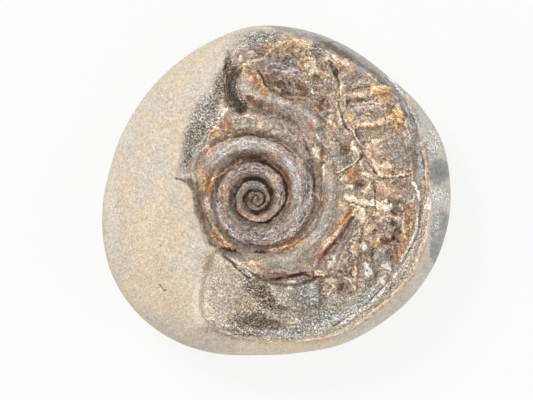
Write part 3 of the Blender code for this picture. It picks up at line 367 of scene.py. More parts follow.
LINES = {
    # painted highlights along the whorls' crests, and the light filaments of the growth lines
    "crest_highlight_and_filament": (
        (0.9, ((222, 152), (229, 146), (237, 142.5), (243, 140.5), (249, 142.5), (257, 142), (265, 144), (273, 148))),
        (0.9, ((273, 148), (281, 152), (287, 158), (292, 165))),
        (0.7, ((296, 168), (299, 176), (300.5, 186), (300.4, 196), (298, 206), (293, 214))),
        (0.5, ((293, 214), (286, 223), (278, 229), (268, 234))),
        (0.5, ((290, 215), (281, 224), (270, 231), (258, 234))),
        (0.5, ((300, 210), (292, 222), (281, 231), (266, 238), (252, 240))),
        (0.5, ((306, 206), (301, 219), (290, 232), (276, 241))),
        (0.5, ((306, 180), (306.5, 192), (304, 206), (297, 220))),
        (0.5, ((310, 176), (311, 190), (309, 204))),
        (0.5, ((215, 184), (214, 197), (217, 211), (225, 225), (237, 234))),
        (0.5, ((246, 171.5), (253, 170.4), (260, 172))),
        (0.6, ((265, 173), (272, 179), (276, 188))),
        (0.5, ((223, 178), (232, 172), (243, 168), (256, 167))),
        (0.5, ((230, 213), (236, 220), (246, 226), (258, 228))),
        (0.6, ((270, 63), (284, 66), (298, 71), (308, 77))),
        (0.5, ((272, 70), (286, 73), (300, 79))),
        (0.5, ((266, 57), (280, 60), (292, 66))),
        (0.6, ((272, 132), (284, 132), (294, 138), (300, 146))),
        (0.6, ((236, 128), (246, 126), (256, 127))),
        (0.6, ((348, 112), (358, 108), (368, 106), (378, 108))),
        (0.5, ((354, 118), (364, 118.5), (374, 120))),
        (0.5, ((330, 218), (322, 232), (312, 244))),
        (0.5, ((320, 212), (314, 226), (304, 238))),
        (0.5, ((348, 222), (342, 232), (336, 241))),
    ),
    "white": (
        (1.7, ((365.4, 262.5), (366.5, 266.5), (369.6, 269.5), (369.4, 273), (366.4, 276))),
        (2.2, ((383, 265), (388, 267), (388.5, 272))),
        (1.6, ((375.6, 200), (378, 203.6), (376.4, 208))),
        (1.5, ((379, 203), (383.4, 206), (386, 209.4))),
        (1.1, ((379, 200.6), (384, 201.4))),
        (1.3, ((313.4, 150), (316, 154), (319, 158))),
        (0.45, ((229, 107), (225, 112), (218, 121), (213, 129), (210, 135), (206, 145), (199.5, 152.7), (193, 156),
               (189, 164), (187, 170))),
        (0.8, ((182, 177), (189, 175), (193, 174))),
        (0.9, ((417, 216), (417, 228), (412, 240), (404, 257), (400, 263), (395, 273.5), (390.4, 280.4), (384.6, 288),
               (378, 295), (368, 304), (353.5, 314), (341, 323))),
        (0.6, ((387.4, 75), (393.6, 82.7), (401, 92), (406, 99.5), (410.4, 107.7), (414, 116), (417, 123), (420, 131))),
        (0.8, ((408, 167.6), (410.7, 169.4), (412, 174.7), (411.6, 179.2), (412.5, 183.7), (415.6, 186.3), (417, 190.4),
               (418.3, 195.7), (418.7, 200.2))),
        (1.0, ((228, 255.5), (236, 262), (244, 269), (251, 274))),
        (0.8, ((344.4, 276.4), (348, 279.6), (351.3, 283.2), (355.3, 290))),
        (0.5, ((384, 275), (379, 282), (374, 289))),
        (0.5, ((317.3, 135), (319, 141), (324.5, 140.5), (331, 143), (337.8, 143.3))),
        (0.6, ((205.8, 198), (209, 206), (214, 217))),
        (0.6, ((406.5, 202.4), (410, 201), (413.4, 199), (414.4, 194))),
    ),
    "cream": (
        (1.2, ((238, 70), (244, 66), (251, 62), (261, 59.5), (268, 54), (275, 47), (286, 42), (298, 40), (304, 41),
               (308.8, 49.3), (309.3, 55.4), (314, 61))),
        (0.9, ((325.7, 51), (328.3, 57.5), (332.7, 62.3), (338, 63))),
        (0.7, ((338.4, 82), (340, 90), (337.6, 96), (336.4, 106), (338, 114), (341, 124))),
        (0.6, ((342, 87), (345, 94), (344.6, 104), (345.4, 112), (346, 122), (354, 134), (357, 141))),
        (0.6, ((337, 172.6), (343.3, 170), (349, 166.8), (353.6, 163), (357.7, 158.6))),
        (0.9, ((324.5, 165), (324, 170), (323.5, 180), (322, 186), (322.5, 196), (319, 200), (317, 194))),
        (0.5, ((347.9, 206.9), (343, 218), (339, 228.7), (331, 235.6), (324, 242.5), (319.5, 250), (316, 254.5),
               (314, 266), (313.4, 269), (315.2, 275.2), (324.4, 274.6), (331.2, 271.2), (336.4, 267.7))),
        (0.8, ((357.6, 214), (358, 224), (356, 232), (350, 240), (344, 250), (340, 260), (337, 268))),
        (0.8, ((316, 217), (310, 229), (300, 239), (287, 246), (270, 249))),
        (1.1, ((202, 320), (217, 329), (230, 333.6), (244, 337.6), (262, 341.5), (283, 343), (304, 341), (318, 338.6),
               (341, 333.5), (353.5, 327), (368, 316.5), (381, 306), (391.5, 297.5), (410.6, 276), (417, 261.5),
               (425, 242.5), (427.5, 227.7), (430, 205))),
        (0.7, ((358, 160), (362, 166), (364, 173), (370, 177), (376, 181))),
        (0.8, ((399, 105), (404, 118), (407, 130), (410, 138))),
        (0.8, ((366, 152), (371.6, 160), (376, 168), (380, 173.4), (387, 176.6), (395, 176.6), (404, 174))),
        (0.6, ((348, 106), (360, 103.6), (372, 103), (380, 105))),
        (0.9, ((205, 200), (209, 214), (215, 228), (224, 240), (232, 246))),
        (0.6, ((212, 180), (221, 174.6), (229.4, 168.5), (235, 165), (242, 160.5))),
        (0.7, ((376.5, 213), (382, 217), (390, 215), (394, 220))),
        (0.6, ((356, 238), (352, 250), (355, 262), (354, 272))),
        (0.7, ((237, 262), (248, 268), (262, 276), (272, 277))),
        (0.7, ((400, 204), (404, 214), (402, 226), (405, 238))),
        (0.6, ((330, 278), (333, 286), (328, 294))),
        (0.6, ((268, 163), (276, 168), (282.6, 174), (285.6, 181), (287.6, 189), (288.8, 196), (287, 204))),
        (0.5, ((236, 209), (241, 216), (250, 221.4), (259, 222))),
        (0.6, ((352, 216), (355, 208), (350, 205.6), (345, 209))),
        (0.6, ((416, 222), (414, 234), (408, 248), (401, 258))),
    ),
    "rust": (
        (1.5, ((211.7, 181), (221, 176), (229.4, 170), (235, 166.4), (242.3, 161.6))),
        (1.5, ((271, 161.5), (278.5, 165.5), (285, 171.5), (289.5, 181), (291.4, 193), (290, 204), (285, 215))),
        (1.0, ((242, 70), (254, 73), (261, 80), (263, 90), (268, 93))),
        (0.9, ((266, 89), (275.5, 91), (284.5, 97), (290, 98), (304, 97), (316, 110))),
        (2.6, ((351, 213), (347, 224), (340, 235), (332, 244), (323, 252), (318, 260))),
        (1.6, ((343, 214), (338, 226), (330, 236))),
        (1.1, ((424, 141), (427, 160), (428, 176), (427, 196))),
        (1.8, ((414, 206), (411, 222), (405, 240), (398, 256))),
        (0.8, ((404, 283), (412, 272), (419, 258), (424, 246))),
        (0.8, ((372, 314), (384, 304.5), (395, 294))),
        (1.0, ((204, 170), (203, 185), (205, 198), (210, 216), (219, 232))),
        (0.7, ((236, 192), (235, 202), (238, 212))),
        (0.8, ((313, 276), (320, 277), (330, 274), (340, 270))),
        (0.8, ((222, 182), (221.4, 192), (222, 204), (226, 213))),
        (0.6, ((230, 334.6), (262, 342.5), (318, 339.6), (353.5, 328), (391.5, 298.6), (412, 276))),
    ),
    # dark seams and gaps: partly the shell's dark fill, partly painted shade in these recesses
    "hollow": (
        (0.8, ((250, 161.6), (258.2, 161.3), (263.1, 162.5))),
        (1.4, ((263.1, 162.5), (269.2, 165), (275.4, 169.3), (280.9, 174.8), (283.9, 181.5), (285.8, 188.9), (287, 195),
               (285.2, 203), (282.1, 208.5), (277.2, 214))),
        (1.0, ((277.2, 214), (271.1, 218.9), (265, 221.9), (257, 222.5), (249.6, 220.7), (244.1, 218))),
        (1.1, ((244.1, 218), (239.2, 214), (236.2, 207.8), (234.9, 201.1), (235.6, 193.8), (238.6, 187.6),
               (244.1, 182.1))),
        (1.8, ((244.1, 181.6), (249.6, 179.4), (255.8, 179.4), (261.9, 181.2), (266.8, 185.2), (270, 190.6))),
        (1.5, ((270, 190.6), (271.2, 198), (269.4, 204.8), (265, 209.9), (259.4, 212.3), (254.5, 212.1),
               (250.3, 209.1))),
        (1.0, ((250.3, 209.1), (246.6, 204.8), (245.4, 199.9), (246.6, 195), (250.3, 191.3), (255.2, 190.1),
               (260, 190.7), (263.7, 194.4), (264.9, 199.9), (262.5, 204.2))),
        (0.8, ((262.5, 204.2), (258.2, 206), (254.5, 204.8), (252.1, 201.1), (253.3, 197.4), (257, 195.6), (258.8, 198),
               (257, 201.1))),
        (0.4, ((232, 137.5), (243, 136), (253, 135.5), (262, 137), (270, 140))),
        (0.4, ((270, 140), (280, 144), (289, 150), (296, 158))),
        (0.5, ((312.6, 168), (313.6, 176), (314, 187), (313, 196))),
        (1.2, ((268, 277), (276, 279), (286, 277.5), (296, 275), (304, 274))),
        (0.6, ((304, 274), (310, 276), (316, 278))),
        (0.7, ((256, 273), (264, 276), (272, 280))),
        (0.6, ((226.5, 62), (224.5, 75), (225, 90), (228, 104))),
        (0.5, ((230, 60), (228.5, 74), (229, 88))),
        (0.8, ((176, 178.5), (184, 181), (189, 183))),
        (0.6, ((228, 257), (234, 265), (243, 273), (250, 278))),
        (0.8, ((257.6, 70), (262, 78), (266.5, 86.5))),
        (0.5, ((313, 271), (314, 276.4), (320, 277))),
        (0.5, ((389, 201), (389.6, 208), (394, 213.6), (400, 214), (404.6, 210))),
        (0.5, ((402, 93), (405, 98), (407, 102))),
        (0.6, ((355.3, 127), (356, 132), (357, 137))),
    ),
    "crack": (
        (0.75, ((329, 61), (332, 66), (335, 71), (337.4, 78), (338.6, 85), (339.7, 95), (339.4, 104), (341, 112),
                (342.6, 121), (345.6, 129), (351.6, 132), (355, 140), (358.9, 146.4), (362, 152), (367.9, 162.7),
                (373, 170.8), (379.6, 177.8), (389, 178.8), (408, 176.4))),
        (0.6, ((362.8, 155.5), (358, 161), (353.6, 164.7), (344.9, 170.8), (335.7, 174.4))),
        (0.5, ((343.6, 173.4), (340, 177), (336.7, 181))),
        (0.5, ((372.8, 179), (373.7, 191.3), (374, 200), (374.6, 209), (373.6, 214), (371.4, 217.6), (367.9, 223.4),
               (364, 228.7), (360.5, 235.6), (359.9, 242.5), (358.8, 248.8), (358.2, 259), (357.6, 266))),
        (0.5, ((357.6, 266), (357, 276), (357, 288))),
        (0.6, ((352, 92.6), (355, 89.6), (361, 87.5), (370, 87))),
        (0.5, ((352, 202), (357, 205), (362, 206.4), (368, 206), (374, 207))),
        (0.5, ((268, 87), (276, 92), (286, 99), (296, 99), (308, 100.5))),
        (0.4, ((384, 76.6), (391, 83), (399, 93), (405, 101.6), (411, 114), (416, 127), (421, 150))),
        (0.5, ((421, 150), (423.5, 170), (425, 190))),
        (0.3, ((424, 220), (419, 244), (411, 262), (396, 284), (376, 303), (352, 320))),
    ),
    "brown": (
        (1.0, ((214, 182.6), (222, 177.4), (230, 171.4), (236, 168))),
        (1.0, ((268, 88), (285, 96), (300, 95), (311, 101), (318, 111))),
        (0.9, ((303, 140), (308, 152), (313, 166))),
        (0.9, ((401, 204), (405, 210), (410, 206))),
        (1.8, ((351, 214), (346, 228), (336, 241), (326, 251), (320, 258))),
        (0.8, ((236.5, 188), (233.6, 196), (233.8, 204), (236, 210))),
        (0.8, ((398, 250), (394, 260), (391, 268))),
    ),
}  # fmt: skip

ZONES = {
    "tooled": (
        ((249, 31), (262, 31), (275, 34), (280, 41), (262, 46), (246, 47), (236, 51), (230, 60), (227, 72),
         (226, 90), (228, 107), (220, 120), (212, 130), (207, 142), (199, 153), (192, 160), (190, 170),
         (197, 174), (192, 178), (186, 176), (182, 166), (182, 154), (184, 142), (187, 128), (193, 113),
         (204, 100), (216, 82), (222, 70), (227, 57), (238, 44)),
        ((203, 250), (214, 254), (228, 260), (240, 268), (251, 276), (268, 282), (280, 290), (300, 296),
         (320, 290), (332, 292), (345, 298), (362, 290), (378, 284), (372, 300), (352, 316), (338, 325),
         (318, 337), (283, 342), (244, 338), (222, 331), (208, 325), (202, 310), (201.5, 284)),
    ),
    "slate": (
        ((270, 25), (275, 23), (300, 22), (330, 30), (365, 50), (385, 68), (402, 84), (412, 104), (419, 122),
         (424, 150), (424, 172), (420, 186), (417, 172), (414, 150), (409, 130), (402, 113),
         (396, 99), (389, 89), (377, 79), (361, 71), (344, 59), (328, 49), (306, 39), (290, 34), (276, 32)),
    ),
    "keel": (
        ((421, 192), (428, 193), (430, 218), (424, 246), (411, 276), (384, 304), (352, 326), (318, 338),
         (283, 342), (262, 340), (290, 334), (330, 327), (352, 316), (380, 292), (396, 270), (412, 240),
         (417, 216)),
    ),
    "ash": (
        ((414, 104), (426, 112), (436, 124), (446, 142), (454, 165), (458, 190), (456, 216), (450, 240), (442, 262),
         (428, 284), (410, 304), (394, 318), (376, 330), (370, 326), (388, 310), (404, 294), (418, 276), (428, 254),
         (432, 232), (432, 200), (429, 175), (425, 145), (419, 122)),
    ),
    "chalk": (
        ((198, 252), (222, 255), (240, 268), (246, 284), (244, 302), (234, 316), (220, 326), (202, 318)),
    ),
    # the steep wall between dome and shell: its own browner colour with painted shade, as it faces away from the light
    "wall_tint_and_shade": (
        ((177, 177), (186, 179), (189, 184), (193, 194), (196.5, 213), (202, 231), (210, 244), (219, 251),
         (224, 249), (217, 235), (212.5, 220), (205, 206), (202, 193), (199, 181), (193, 177)),
    ),
    "crusted": (
        ((232, 112), (258, 115), (278, 118), (294, 128), (300, 142), (284, 140), (268, 134),
         (250, 133), (232, 138), (214, 148), (206, 140), (214, 126), (224, 114)),
        ((236, 52), (262, 44), (282, 37), (300, 38), (318, 52), (330, 58), (350, 68), (388, 88), (400, 106),
         (408, 134), (413, 170), (416, 200), (410, 236), (398, 262), (378, 286), (350, 300), (328, 290),
         (316, 272), (330, 246), (342, 222), (340, 196), (326, 165), (312, 160), (312, 142), (326, 136),
         (322, 112), (300, 96), (282, 92), (262, 92), (240, 76)),
    ),
    "swept": (
        ((342, 86), (396, 86), (412, 130), (414, 166), (360, 166), (346, 120)),
        ((256, 54), (300, 54), (322, 80), (322, 100), (284, 92), (262, 76)),
    ),
}  # fmt: skip

FIELDS = ("soot", "frost", "shade_and_dark_patch", "grey", "plum", "tan", "brown", "rust", "crust", "ochre", "cream", "white",
          "crest_highlight_and_filament", "hollow", "crack", "blue", "lirae", "warm", "pale", "shade", "pit", "tooled", "ash", "chalk", "earth", "slate", "keel",
          "wall_tint_and_shade", "crusted", "swept")

# What each kind of surface adds to the height, in millimetres, and over how many plan units.
RELIEF = {
    "crack": (-0.18, 1.2), "hollow": (-0.4, 1.6), "white": (0.14, 0.9), "cream": (0.16, 1.4), "crust": (0.14, 2.0),
    "rust": (0.10, 1.6), "ochre": (0.16, 1.4), "brown": (-0.16, 2.0), "pit": (-0.5, 1.0),
    "grey": (-0.10, 2.0), "soot": (-0.06, 2.0),
}  # fmt: skip

# Surfaces that follow the outlines of the shell's flakes, and by how many plan units.
FLAKED = {"grey": 2.2, "plum": 2.2, "tan": 2.4, "brown": 2.2, "rust": 2.2, "ochre": 1.4, "cream": 1.4}
FLAKE_SIZES = (2.6, 1.2)


# ---- curves, as in the CAD source ----


def slopes_through(x, y):
    """Tangents of a curve through the points that never overshoots them."""
    step = np.diff(x)
    rise = np.diff(y) / step
    left, right = rise[:-1], rise[1:]
    weight_left, weight_right = 2 * step[1:] + step[:-1], step[1:] + 2 * step[:-1]
    same_way = left * right > 0
    safe_left, safe_right = np.where(same_way, left, 1.0), np.where(same_way, right, 1.0)
    mean = (weight_left + weight_right) / (weight_left / safe_left + weight_right / safe_right)
    return np.concatenate([rise[:1], np.where(same_way, mean, 0.0), rise[-1:]])


def smooth_curve(points, at):
    """A smooth curve through (x, y) points, flat beyond both ends."""
    x, y = np.array(points, float).T
    slope = slopes_through(x, y)
    at = np.clip(at, x[0], x[-1])
    left = np.clip(np.searchsorted(x, at, side="right") - 1, 0, len(x) - 2)
    width = x[left + 1] - x[left]
    t = (at - x[left]) / width
    return (
        y[left] * (1 + 2 * t) * (1 - t) ** 2
        + y[left + 1] * t * t * (3 - 2 * t)
        + width * (slope[left] * t * (1 - t) ** 2 + slope[left + 1] * t * t * (t - 1))
    )


def closed_curve(points, degrees):
    """The same, for a radius by angle that closes on itself."""
    before = [(angle - TURN, radius) for angle, radius in points[-3:]]
    after = [(angle + TURN, radius) for angle, radius in points[:3]]
    return smooth_curve([*before, *points, *after], np.mod(degrees, TURN))


def blend(low, high, value):
    """0 under low, 1 over high, smooth between."""
    t = np.clip((value - low) / (high - low), 0.0, 1.0)
    return t * t * (3 - 2 * t)


def polar(x, y):
    return np.hypot(x, y), np.degrees(np.arctan2(y, x))


def along(degrees, radius):
    angle = np.radians(degrees)
    return radius * np.cos(angle), radius * np.sin(angle)


# ---- noise ----


def hashed(i, j, k, seed):
    """A fixed number from 0 to 1 for each point of a lattice."""
    n = i * np.uint64(73856093) ^ j * np.uint64(19349663) ^ k * np.uint64(83492791)
    n = (n ^ np.uint64(seed * 2654435761 % 2**32)) & np.uint64(0xFFFFFFFF)
    n = (n ^ (n >> np.uint64(15))) * np.uint64(2246822519) & np.uint64(0xFFFFFFFF)
    n = (n ^ (n >> np.uint64(13))) * np.uint64(3266489917) & np.uint64(0xFFFFFFFF)
    return ((n ^ (n >> np.uint64(16))) & np.uint64(0xFFFFFF)) / float(0xFFFFFF)


def noise(points, size, seed):
    """Smooth noise from -1 to 1 whose lumps are about this size."""
    at = points / size
    cell = np.floor(at)
    t = at - cell
    t = t * t * t * (t * (t * 6 - 15) + 10)
    corner = (cell.astype(np.int64) + 4096).astype(np.uint64)
    total = np.zeros(len(points))
    for di in (0, 1):
        for dj in (0, 1):
            for dk in (0, 1):
                weight = np.abs(1 - di - t[:, 0]) * np.abs(1 - dj - t[:, 1]) * np.abs(1 - dk - t[:, 2])
                total += weight * hashed(
                    corner[:, 0] + np.uint64(di), corner[:, 1] + np.uint64(dj), corner[:, 2] + np.uint64(dk), seed
                )
    return total * 2 - 1


def fractal(points, size, seed, octaves=3, gain=0.5):
    """Noise with finer and weaker noise on it."""
    total, weight, whole = 0.0, 1.0, 0.0
    for octave in range(octaves):
        total = total + weight * noise(points, size / 2**octave, seed + octave)
        whole += weight
        weight *= gain
    return total / whole


def flakes(points, size, seed):
    """(number of the flake from 0 to 1, distance to its edge) for a pavement of angular flakes."""
    bent = points + 0.30 * size * np.stack(
        [fractal(points, size * 0.9, seed + 1), fractal(points, size * 0.9, seed + 4), 0 * points[:, 0]], axis=1
    )
    cell = np.floor(bent[:, :2] / size).astype(np.int64)
    nearest, second, number = np.full(len(points), 9.0), np.full(len(points), 9.0), np.zeros(len(points))
    for di in (-1, 0, 1):
        for dj in (-1, 0, 1):
            i, j = (cell[:, 0] + di + 4096).astype(np.uint64), (cell[:, 1] + dj + 4096).astype(np.uint64)
            own_x = (cell[:, 0] + di + 0.5 + 0.9 * (hashed(i, j, i * 0, seed) - 0.5)) * size
            own_y = (cell[:, 1] + dj + 0.5 + 0.9 * (hashed(i, j, i * 0, seed + 7) - 0.5)) * size
            away = np.hypot(bent[:, 0] - own_x, bent[:, 1] - own_y)
            closer = away < nearest
            second = np.where(closer, nearest, np.minimum(second, away))
            number = np.where(closer, hashed(i, j, i * 0, seed + 9), number)
            nearest = np.where(closer, away, nearest)
    return number, (second - nearest) / 2


# ---- the plan ----


def plan_place(x, y):
    """Millimetres about the umbilicus, as places on the plan."""
    return PLAN_UMBILICUS[0] + x / PLAN_UNIT, PLAN_UMBILICUS[1] - y / PLAN_UNIT


def inside_spot(u, v, spot):
    middle_u, middle_v, length, width, tilt = spot
    cos, sin = math.cos(math.radians(tilt)), math.sin(math.radians(tilt))
    du, dv = u - middle_u, middle_v - v
    away = np.hypot((du * cos + dv * sin) / length, (dv * cos - du * sin) / width)
    return (1 - away) * min(length, width)


def rounded(points, steps=4):
    """More points along a path, on a smooth curve through the given ones."""
    path = np.array([points[0], *points, points[-1]], float)
    t = (np.arange(steps) / steps)[:, None]
    bends = [
        b + 0.5 * t * (c - a + t * (2 * a - 5 * b + 4 * c - d + t * (3 * (b - c) + d - a)))
        for a, b, c, d in zip(path, path[1:], path[2:], path[3:])
    ]
    return np.vstack([*bends, path[-1:]])


def from_path(u, v, points, closed=False):
    """Distance to a smooth path, or to a closed path of straight steps; infinite where it is far away."""
    path = np.array([*points, points[0]], float) if closed else rounded(points)
    low, high = path.min(axis=0) - FARTHEST - 4, path.max(axis=0) + FARTHEST + 4
    close = np.flatnonzero((u > low[0]) & (u < high[0]) & (v > low[1]) & (v < high[1]))
    near_u, near_v, nearest = u[close], v[close], np.full(len(close), np.inf)
    for (u0, v0), (u1, v1) in zip(path, path[1:]):
        du, dv = u1 - u0, v1 - v0
        share = np.clip(((near_u - u0) * du + (near_v - v0) * dv) / (du * du + dv * dv), 0.0, 1.0)
        nearest = np.minimum(nearest, np.hypot(near_u - u0 - share * du, near_v - v0 - share * dv))
    away = np.full(u.shape, np.inf)
    away[close] = nearest
    return away


def inside_zone(u, v, points):
    inside = np.zeros(u.shape, bool)
    for (u0, v0), (u1, v1) in zip(points, [*points[1:], points[0]]):
        if v0 != v1:
            crosses = ((v0 > v) != (v1 > v)) & (u < (u1 - u0) * (v - v0) / (v1 - v0) + u0)
            inside ^= crosses
    return np.where(inside, 1.0, -1.0) * from_path(u, v, points, closed=True)


def plan_fields(x, y):
    """For each kind of surface, how far inside it each point lies, in plan units; negative outside."""
    flat = np.stack([x, y, np.zeros_like(x)], axis=1)
    u, v = plan_place(x, y)
    wide_u, wide_v = fractal(flat, 3.2, 11), fractal(flat, 3.2, 21)
    fine_u, fine_v = fractal(flat, 0.9, 31, 2), fractal(flat, 0.9, 41, 2)
    bent = (u + 3.4 * wide_u + 1.4 * fine_u, v + 3.4 * wide_v + 1.4 * fine_v)
    straight = (u + 1.1 * wide_u + 1.1 * fine_u, v + 1.1 * wide_v + 1.1 * fine_v)
    fields = {}
    for name in FIELDS:
        field = np.full(x.shape, -FARTHEST)
        for spot in SPOTS.get(name, ()):
            field = np.maximum(field, inside_spot(*(bent if min(spot[2:4]) > SMALL_SPOT else straight), spot))
        for points in ZONES.get(name, ()):
            field = np.maximum(field, inside_zone(*bent, points))
        fields[name] = field
    crusted = blend(-3.0, 2.0, fields["crusted"])
    edge = np.full(x.shape, 9.0)
    for level, size in enumerate(FLAKE_SIZES):
        number, from_edge = flakes(flat, size, 200 + 20 * level)
        edge = np.minimum(edge, from_edge / size)
        fields[f"flake_{level}"] = number
        for order, (name, units) in enumerate(FLAKED.items()):
            own = np.mod(number * 7.31 * (order + 1) + 0.37 * order, 1.0)
            fields[name] = fields[name] + crusted * units * (own - 0.5) * (1.4, 1.0)[level]
    swelling = 1 + 0.9 * fractal(flat, 2.2, 121, 2)
    for name in LINES:
        field = fields[name]
        for half_width, points in LINES[name]:
            field = np.maximum(field, half_width * swelling - from_path(*straight, points))
        fields[name] = field
    fields = {name: np.clip(values, -FARTHEST, FARTHEST) for name, values in fields.items()}
    fields["flake_edge"] = edge
    # the tone: the stone's own lighter and darker patches together with painted shade and painted light
    tone = np.zeros_like(x)
    for amount, *spot in SHADE_LIGHT_AND_TONE_SPOTS:
        small = min(spot[2], spot[3])
        tone = tone + amount * blend(-0.45 * small, 0.75 * small, inside_spot(*bent, spot))
    for amount, half_width, points in SHADE_LIGHT_AND_TONE_LINES:
        tone = tone + amount * (1 - blend(0.2 * half_width, 1.6 * half_width, from_path(*straight, points)))
    fields["tone"] = tone
    return fields


# ---- heights ----


def crown(x, y):
    """Height of the cobble's whole upper skin."""
    radius, degrees = polar(x, y)
    share = np.clip(radius / closed_curve(OUTLINE, degrees), 0.0, 1.0)
    return EQUATOR_HEIGHT + (CROWN_HEIGHT - EQUATOR_HEIGHT) * np.sqrt(1 - share**CROWN_POWER)


def seam_radius(growth):
    """Radius of the seam at a growth angle, very large where the shell has no further seam."""
    first, last = SEAM[0], SEAM[-1]
    inner = first[1] * INNER_EXPANSION ** ((growth - first[0]) / TURN)
    radius = np.where(growth < first[0], inner, smooth_curve(SEAM, growth))
    return np.where(growth > last[0], np.inf, radius)


def whorl_place(radius, degrees):
    """(inner seam, outer seam, growth angle at the inner seam) of the whorl that each point lies on."""
    angle = np.mod(degrees, TURN)
    inner, outer = np.zeros_like(radius), np.full_like(radius, np.inf)
    growth = angle - 2 * TURN
    for turn in range(-2, 5):
        seam = seam_radius(angle + turn * TURN)
        further = (seam <= radius) & (seam > inner)
        growth = np.where(further, angle + turn * TURN, growth)
        inner = np.where(further, seam, inner)
        outer = np.where(seam > radius, np.minimum(outer, seam), outer)
    return inner, outer, growth


def shell_height(x, y):
    """Height of the ammonite's face, without its fine relief, as in the CAD source."""
    radius, degrees = polar(x, y)
    angle = np.mod(degrees, TURN)
    inner, outer, _ = whorl_place(radius, degrees)
    is_last = np.isinf(outer)
    covered = np.maximum(np.where(is_last, COVERED_SEAM, outer), inner + 0.5)
    share = np.clip((radius - inner) / (covered - inner), 0.0, 1.0)
    whorl = smooth_curve(UMBILICUS_DEPTH, radius) - radius * smooth_curve(WHORL_PROFILE, share)
    seam = smooth_curve(UMBILICUS_DEPTH, inner) - inner * WHORL_PROFILE[0][1]
    rim = closed_curve(FOOT, degrees)
    flank_share = np.clip((radius - inner) / np.maximum(rim - inner, 0.1), 0.0, 1.0)
    climbed = blend(0.0, UMBILICAL_WALL, radius - inner)
    flank = seam + climbed * (smooth_curve(FLANK_DEPTH, flank_share) - seam)
    opened = np.where(angle > LAST_ANGLE % TURN, blend(*FLANK_OPENS, angle), 1.0)
    depth = np.where(is_last, whorl + opened * (flank - whorl), whorl)
    return crown(x, y) - depth


def fine_relief(x, y, fields):
    """What the drawn surfaces and the stone's own roughness add to the height of the upper face."""
    flat = np.stack([x, y, np.zeros_like(x)], axis=1)
    radius, degrees = polar(x, y)
    inner, outer, growth = whorl_place(radius, degrees)
    height = 0.0
    for name, (rise, run) in RELIEF.items():
        height = height + rise * blend(-run / 2, run / 2, fields[name])
    tooled, crusted = blend(-1.5, 1.5, fields["tooled"]), blend(-2.0, 2.0, fields["crusted"])
    inside = blend(0.0, 1.5, closed_curve(FOOT, degrees) - radius)
    height = height + tooled * 0.16 * noise(flat, 0.55, 51)
    height = height + inside * crusted * 0.22 * fractal(flat, 1.9, 61, 4, 0.65)
    height = height + inside * crusted * 0.28 * (fields["flake_0"] - 0.5) * blend(0.0, 0.12, fields["flake_edge"])
    height = height + inside * crusted * 0.16 * (fields["flake_1"] - 0.5)
    height = height + inside * 0.10 * fractal(flat, 2.6, 71, 3, 0.6)
    spiral = np.stack([np.radians(growth) * 5.0, (radius - inner) * 1.9, growth * 0.0], axis=1)
    lirae = blend(-3.0, 0.0, fields["plum"]) * inside
    height = height + lirae * 0.13 * noise(spiral, 1.0, 81)
    return height


def top_height(x, y, fields):
    """Height of the ammonite's face with all its relief."""
    height = shell_height(x, y)
    u, v = plan_place(x, y)
    for rise, half_width, points in FORMS:
        height = height + rise * (1 - blend(0.0, half_width, from_path(u, v, points)))
    return height + fine_relief(x, y, fields)


# ---- meshes ----


def sunk(height, faces, rounds):
    """How far each point lies below the mean of what is around it."""
    pairs = np.array([(a, b) for face in faces for a, b in zip(face, face[1:] + face[:1])])
    one, other = pairs.T
    count = np.bincount(one, minlength=len(height)) + np.bincount(other, minlength=len(height))
    smooth, after = height.copy(), {}
    for step in range(1, max(rounds) + 1):
        total = np.bincount(one, smooth[other], len(height)) + np.bincount(other, smooth[one], len(height))
        smooth = total / count
        if step in rounds:
            after[step] = smooth - height
    return [after[step] for step in rounds]


def mesh_object(name, places, faces, fields):
    """A closed smooth piece, places in millimetres about the umbilicus, with its surface fields."""
    # how far each point is sunk, carried for painted shade in hollows and painted light on ridges
    near, wide = sunk(places[:, 2], faces, (6, 60))
    weight = fields["on_shell"]
    fields = fields | {"shade_and_ridge_light_near": near * weight, "shade_and_ridge_light_wide": wide * weight}
    data = bpy.data.meshes.new(name)
    placed = (places + np.array([*UMBILICUS, 0.0])) * MM
    data.from_pydata([tuple(place) for place in placed.tolist()], [], faces)
    for field, values in fields.items():
        data.attributes.new(field, "FLOAT", "POINT").data.foreach_set("value", values.astype(np.float32))
    data.shade_smooth()
    data.update()
    piece = bpy.data.objects.new(name, data)
    bpy.context.scene.collection.objects.link(piece)
    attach(piece, "root")
    return piece


def unseen(name):
    """What a field is on a hidden face."""
    return -FARTHEST if name in FIELDS else 0.0


def spiral_fields(x, y):
    """Where each point lies along and across its whorl, for streaks that follow the shell's growth."""
    radius, degrees = polar(x, y)
    inner, _, growth = whorl_place(radius, degrees)
    return {"grown": np.radians(growth) * 12.0, "crossed": radius - inner, "radius": radius}


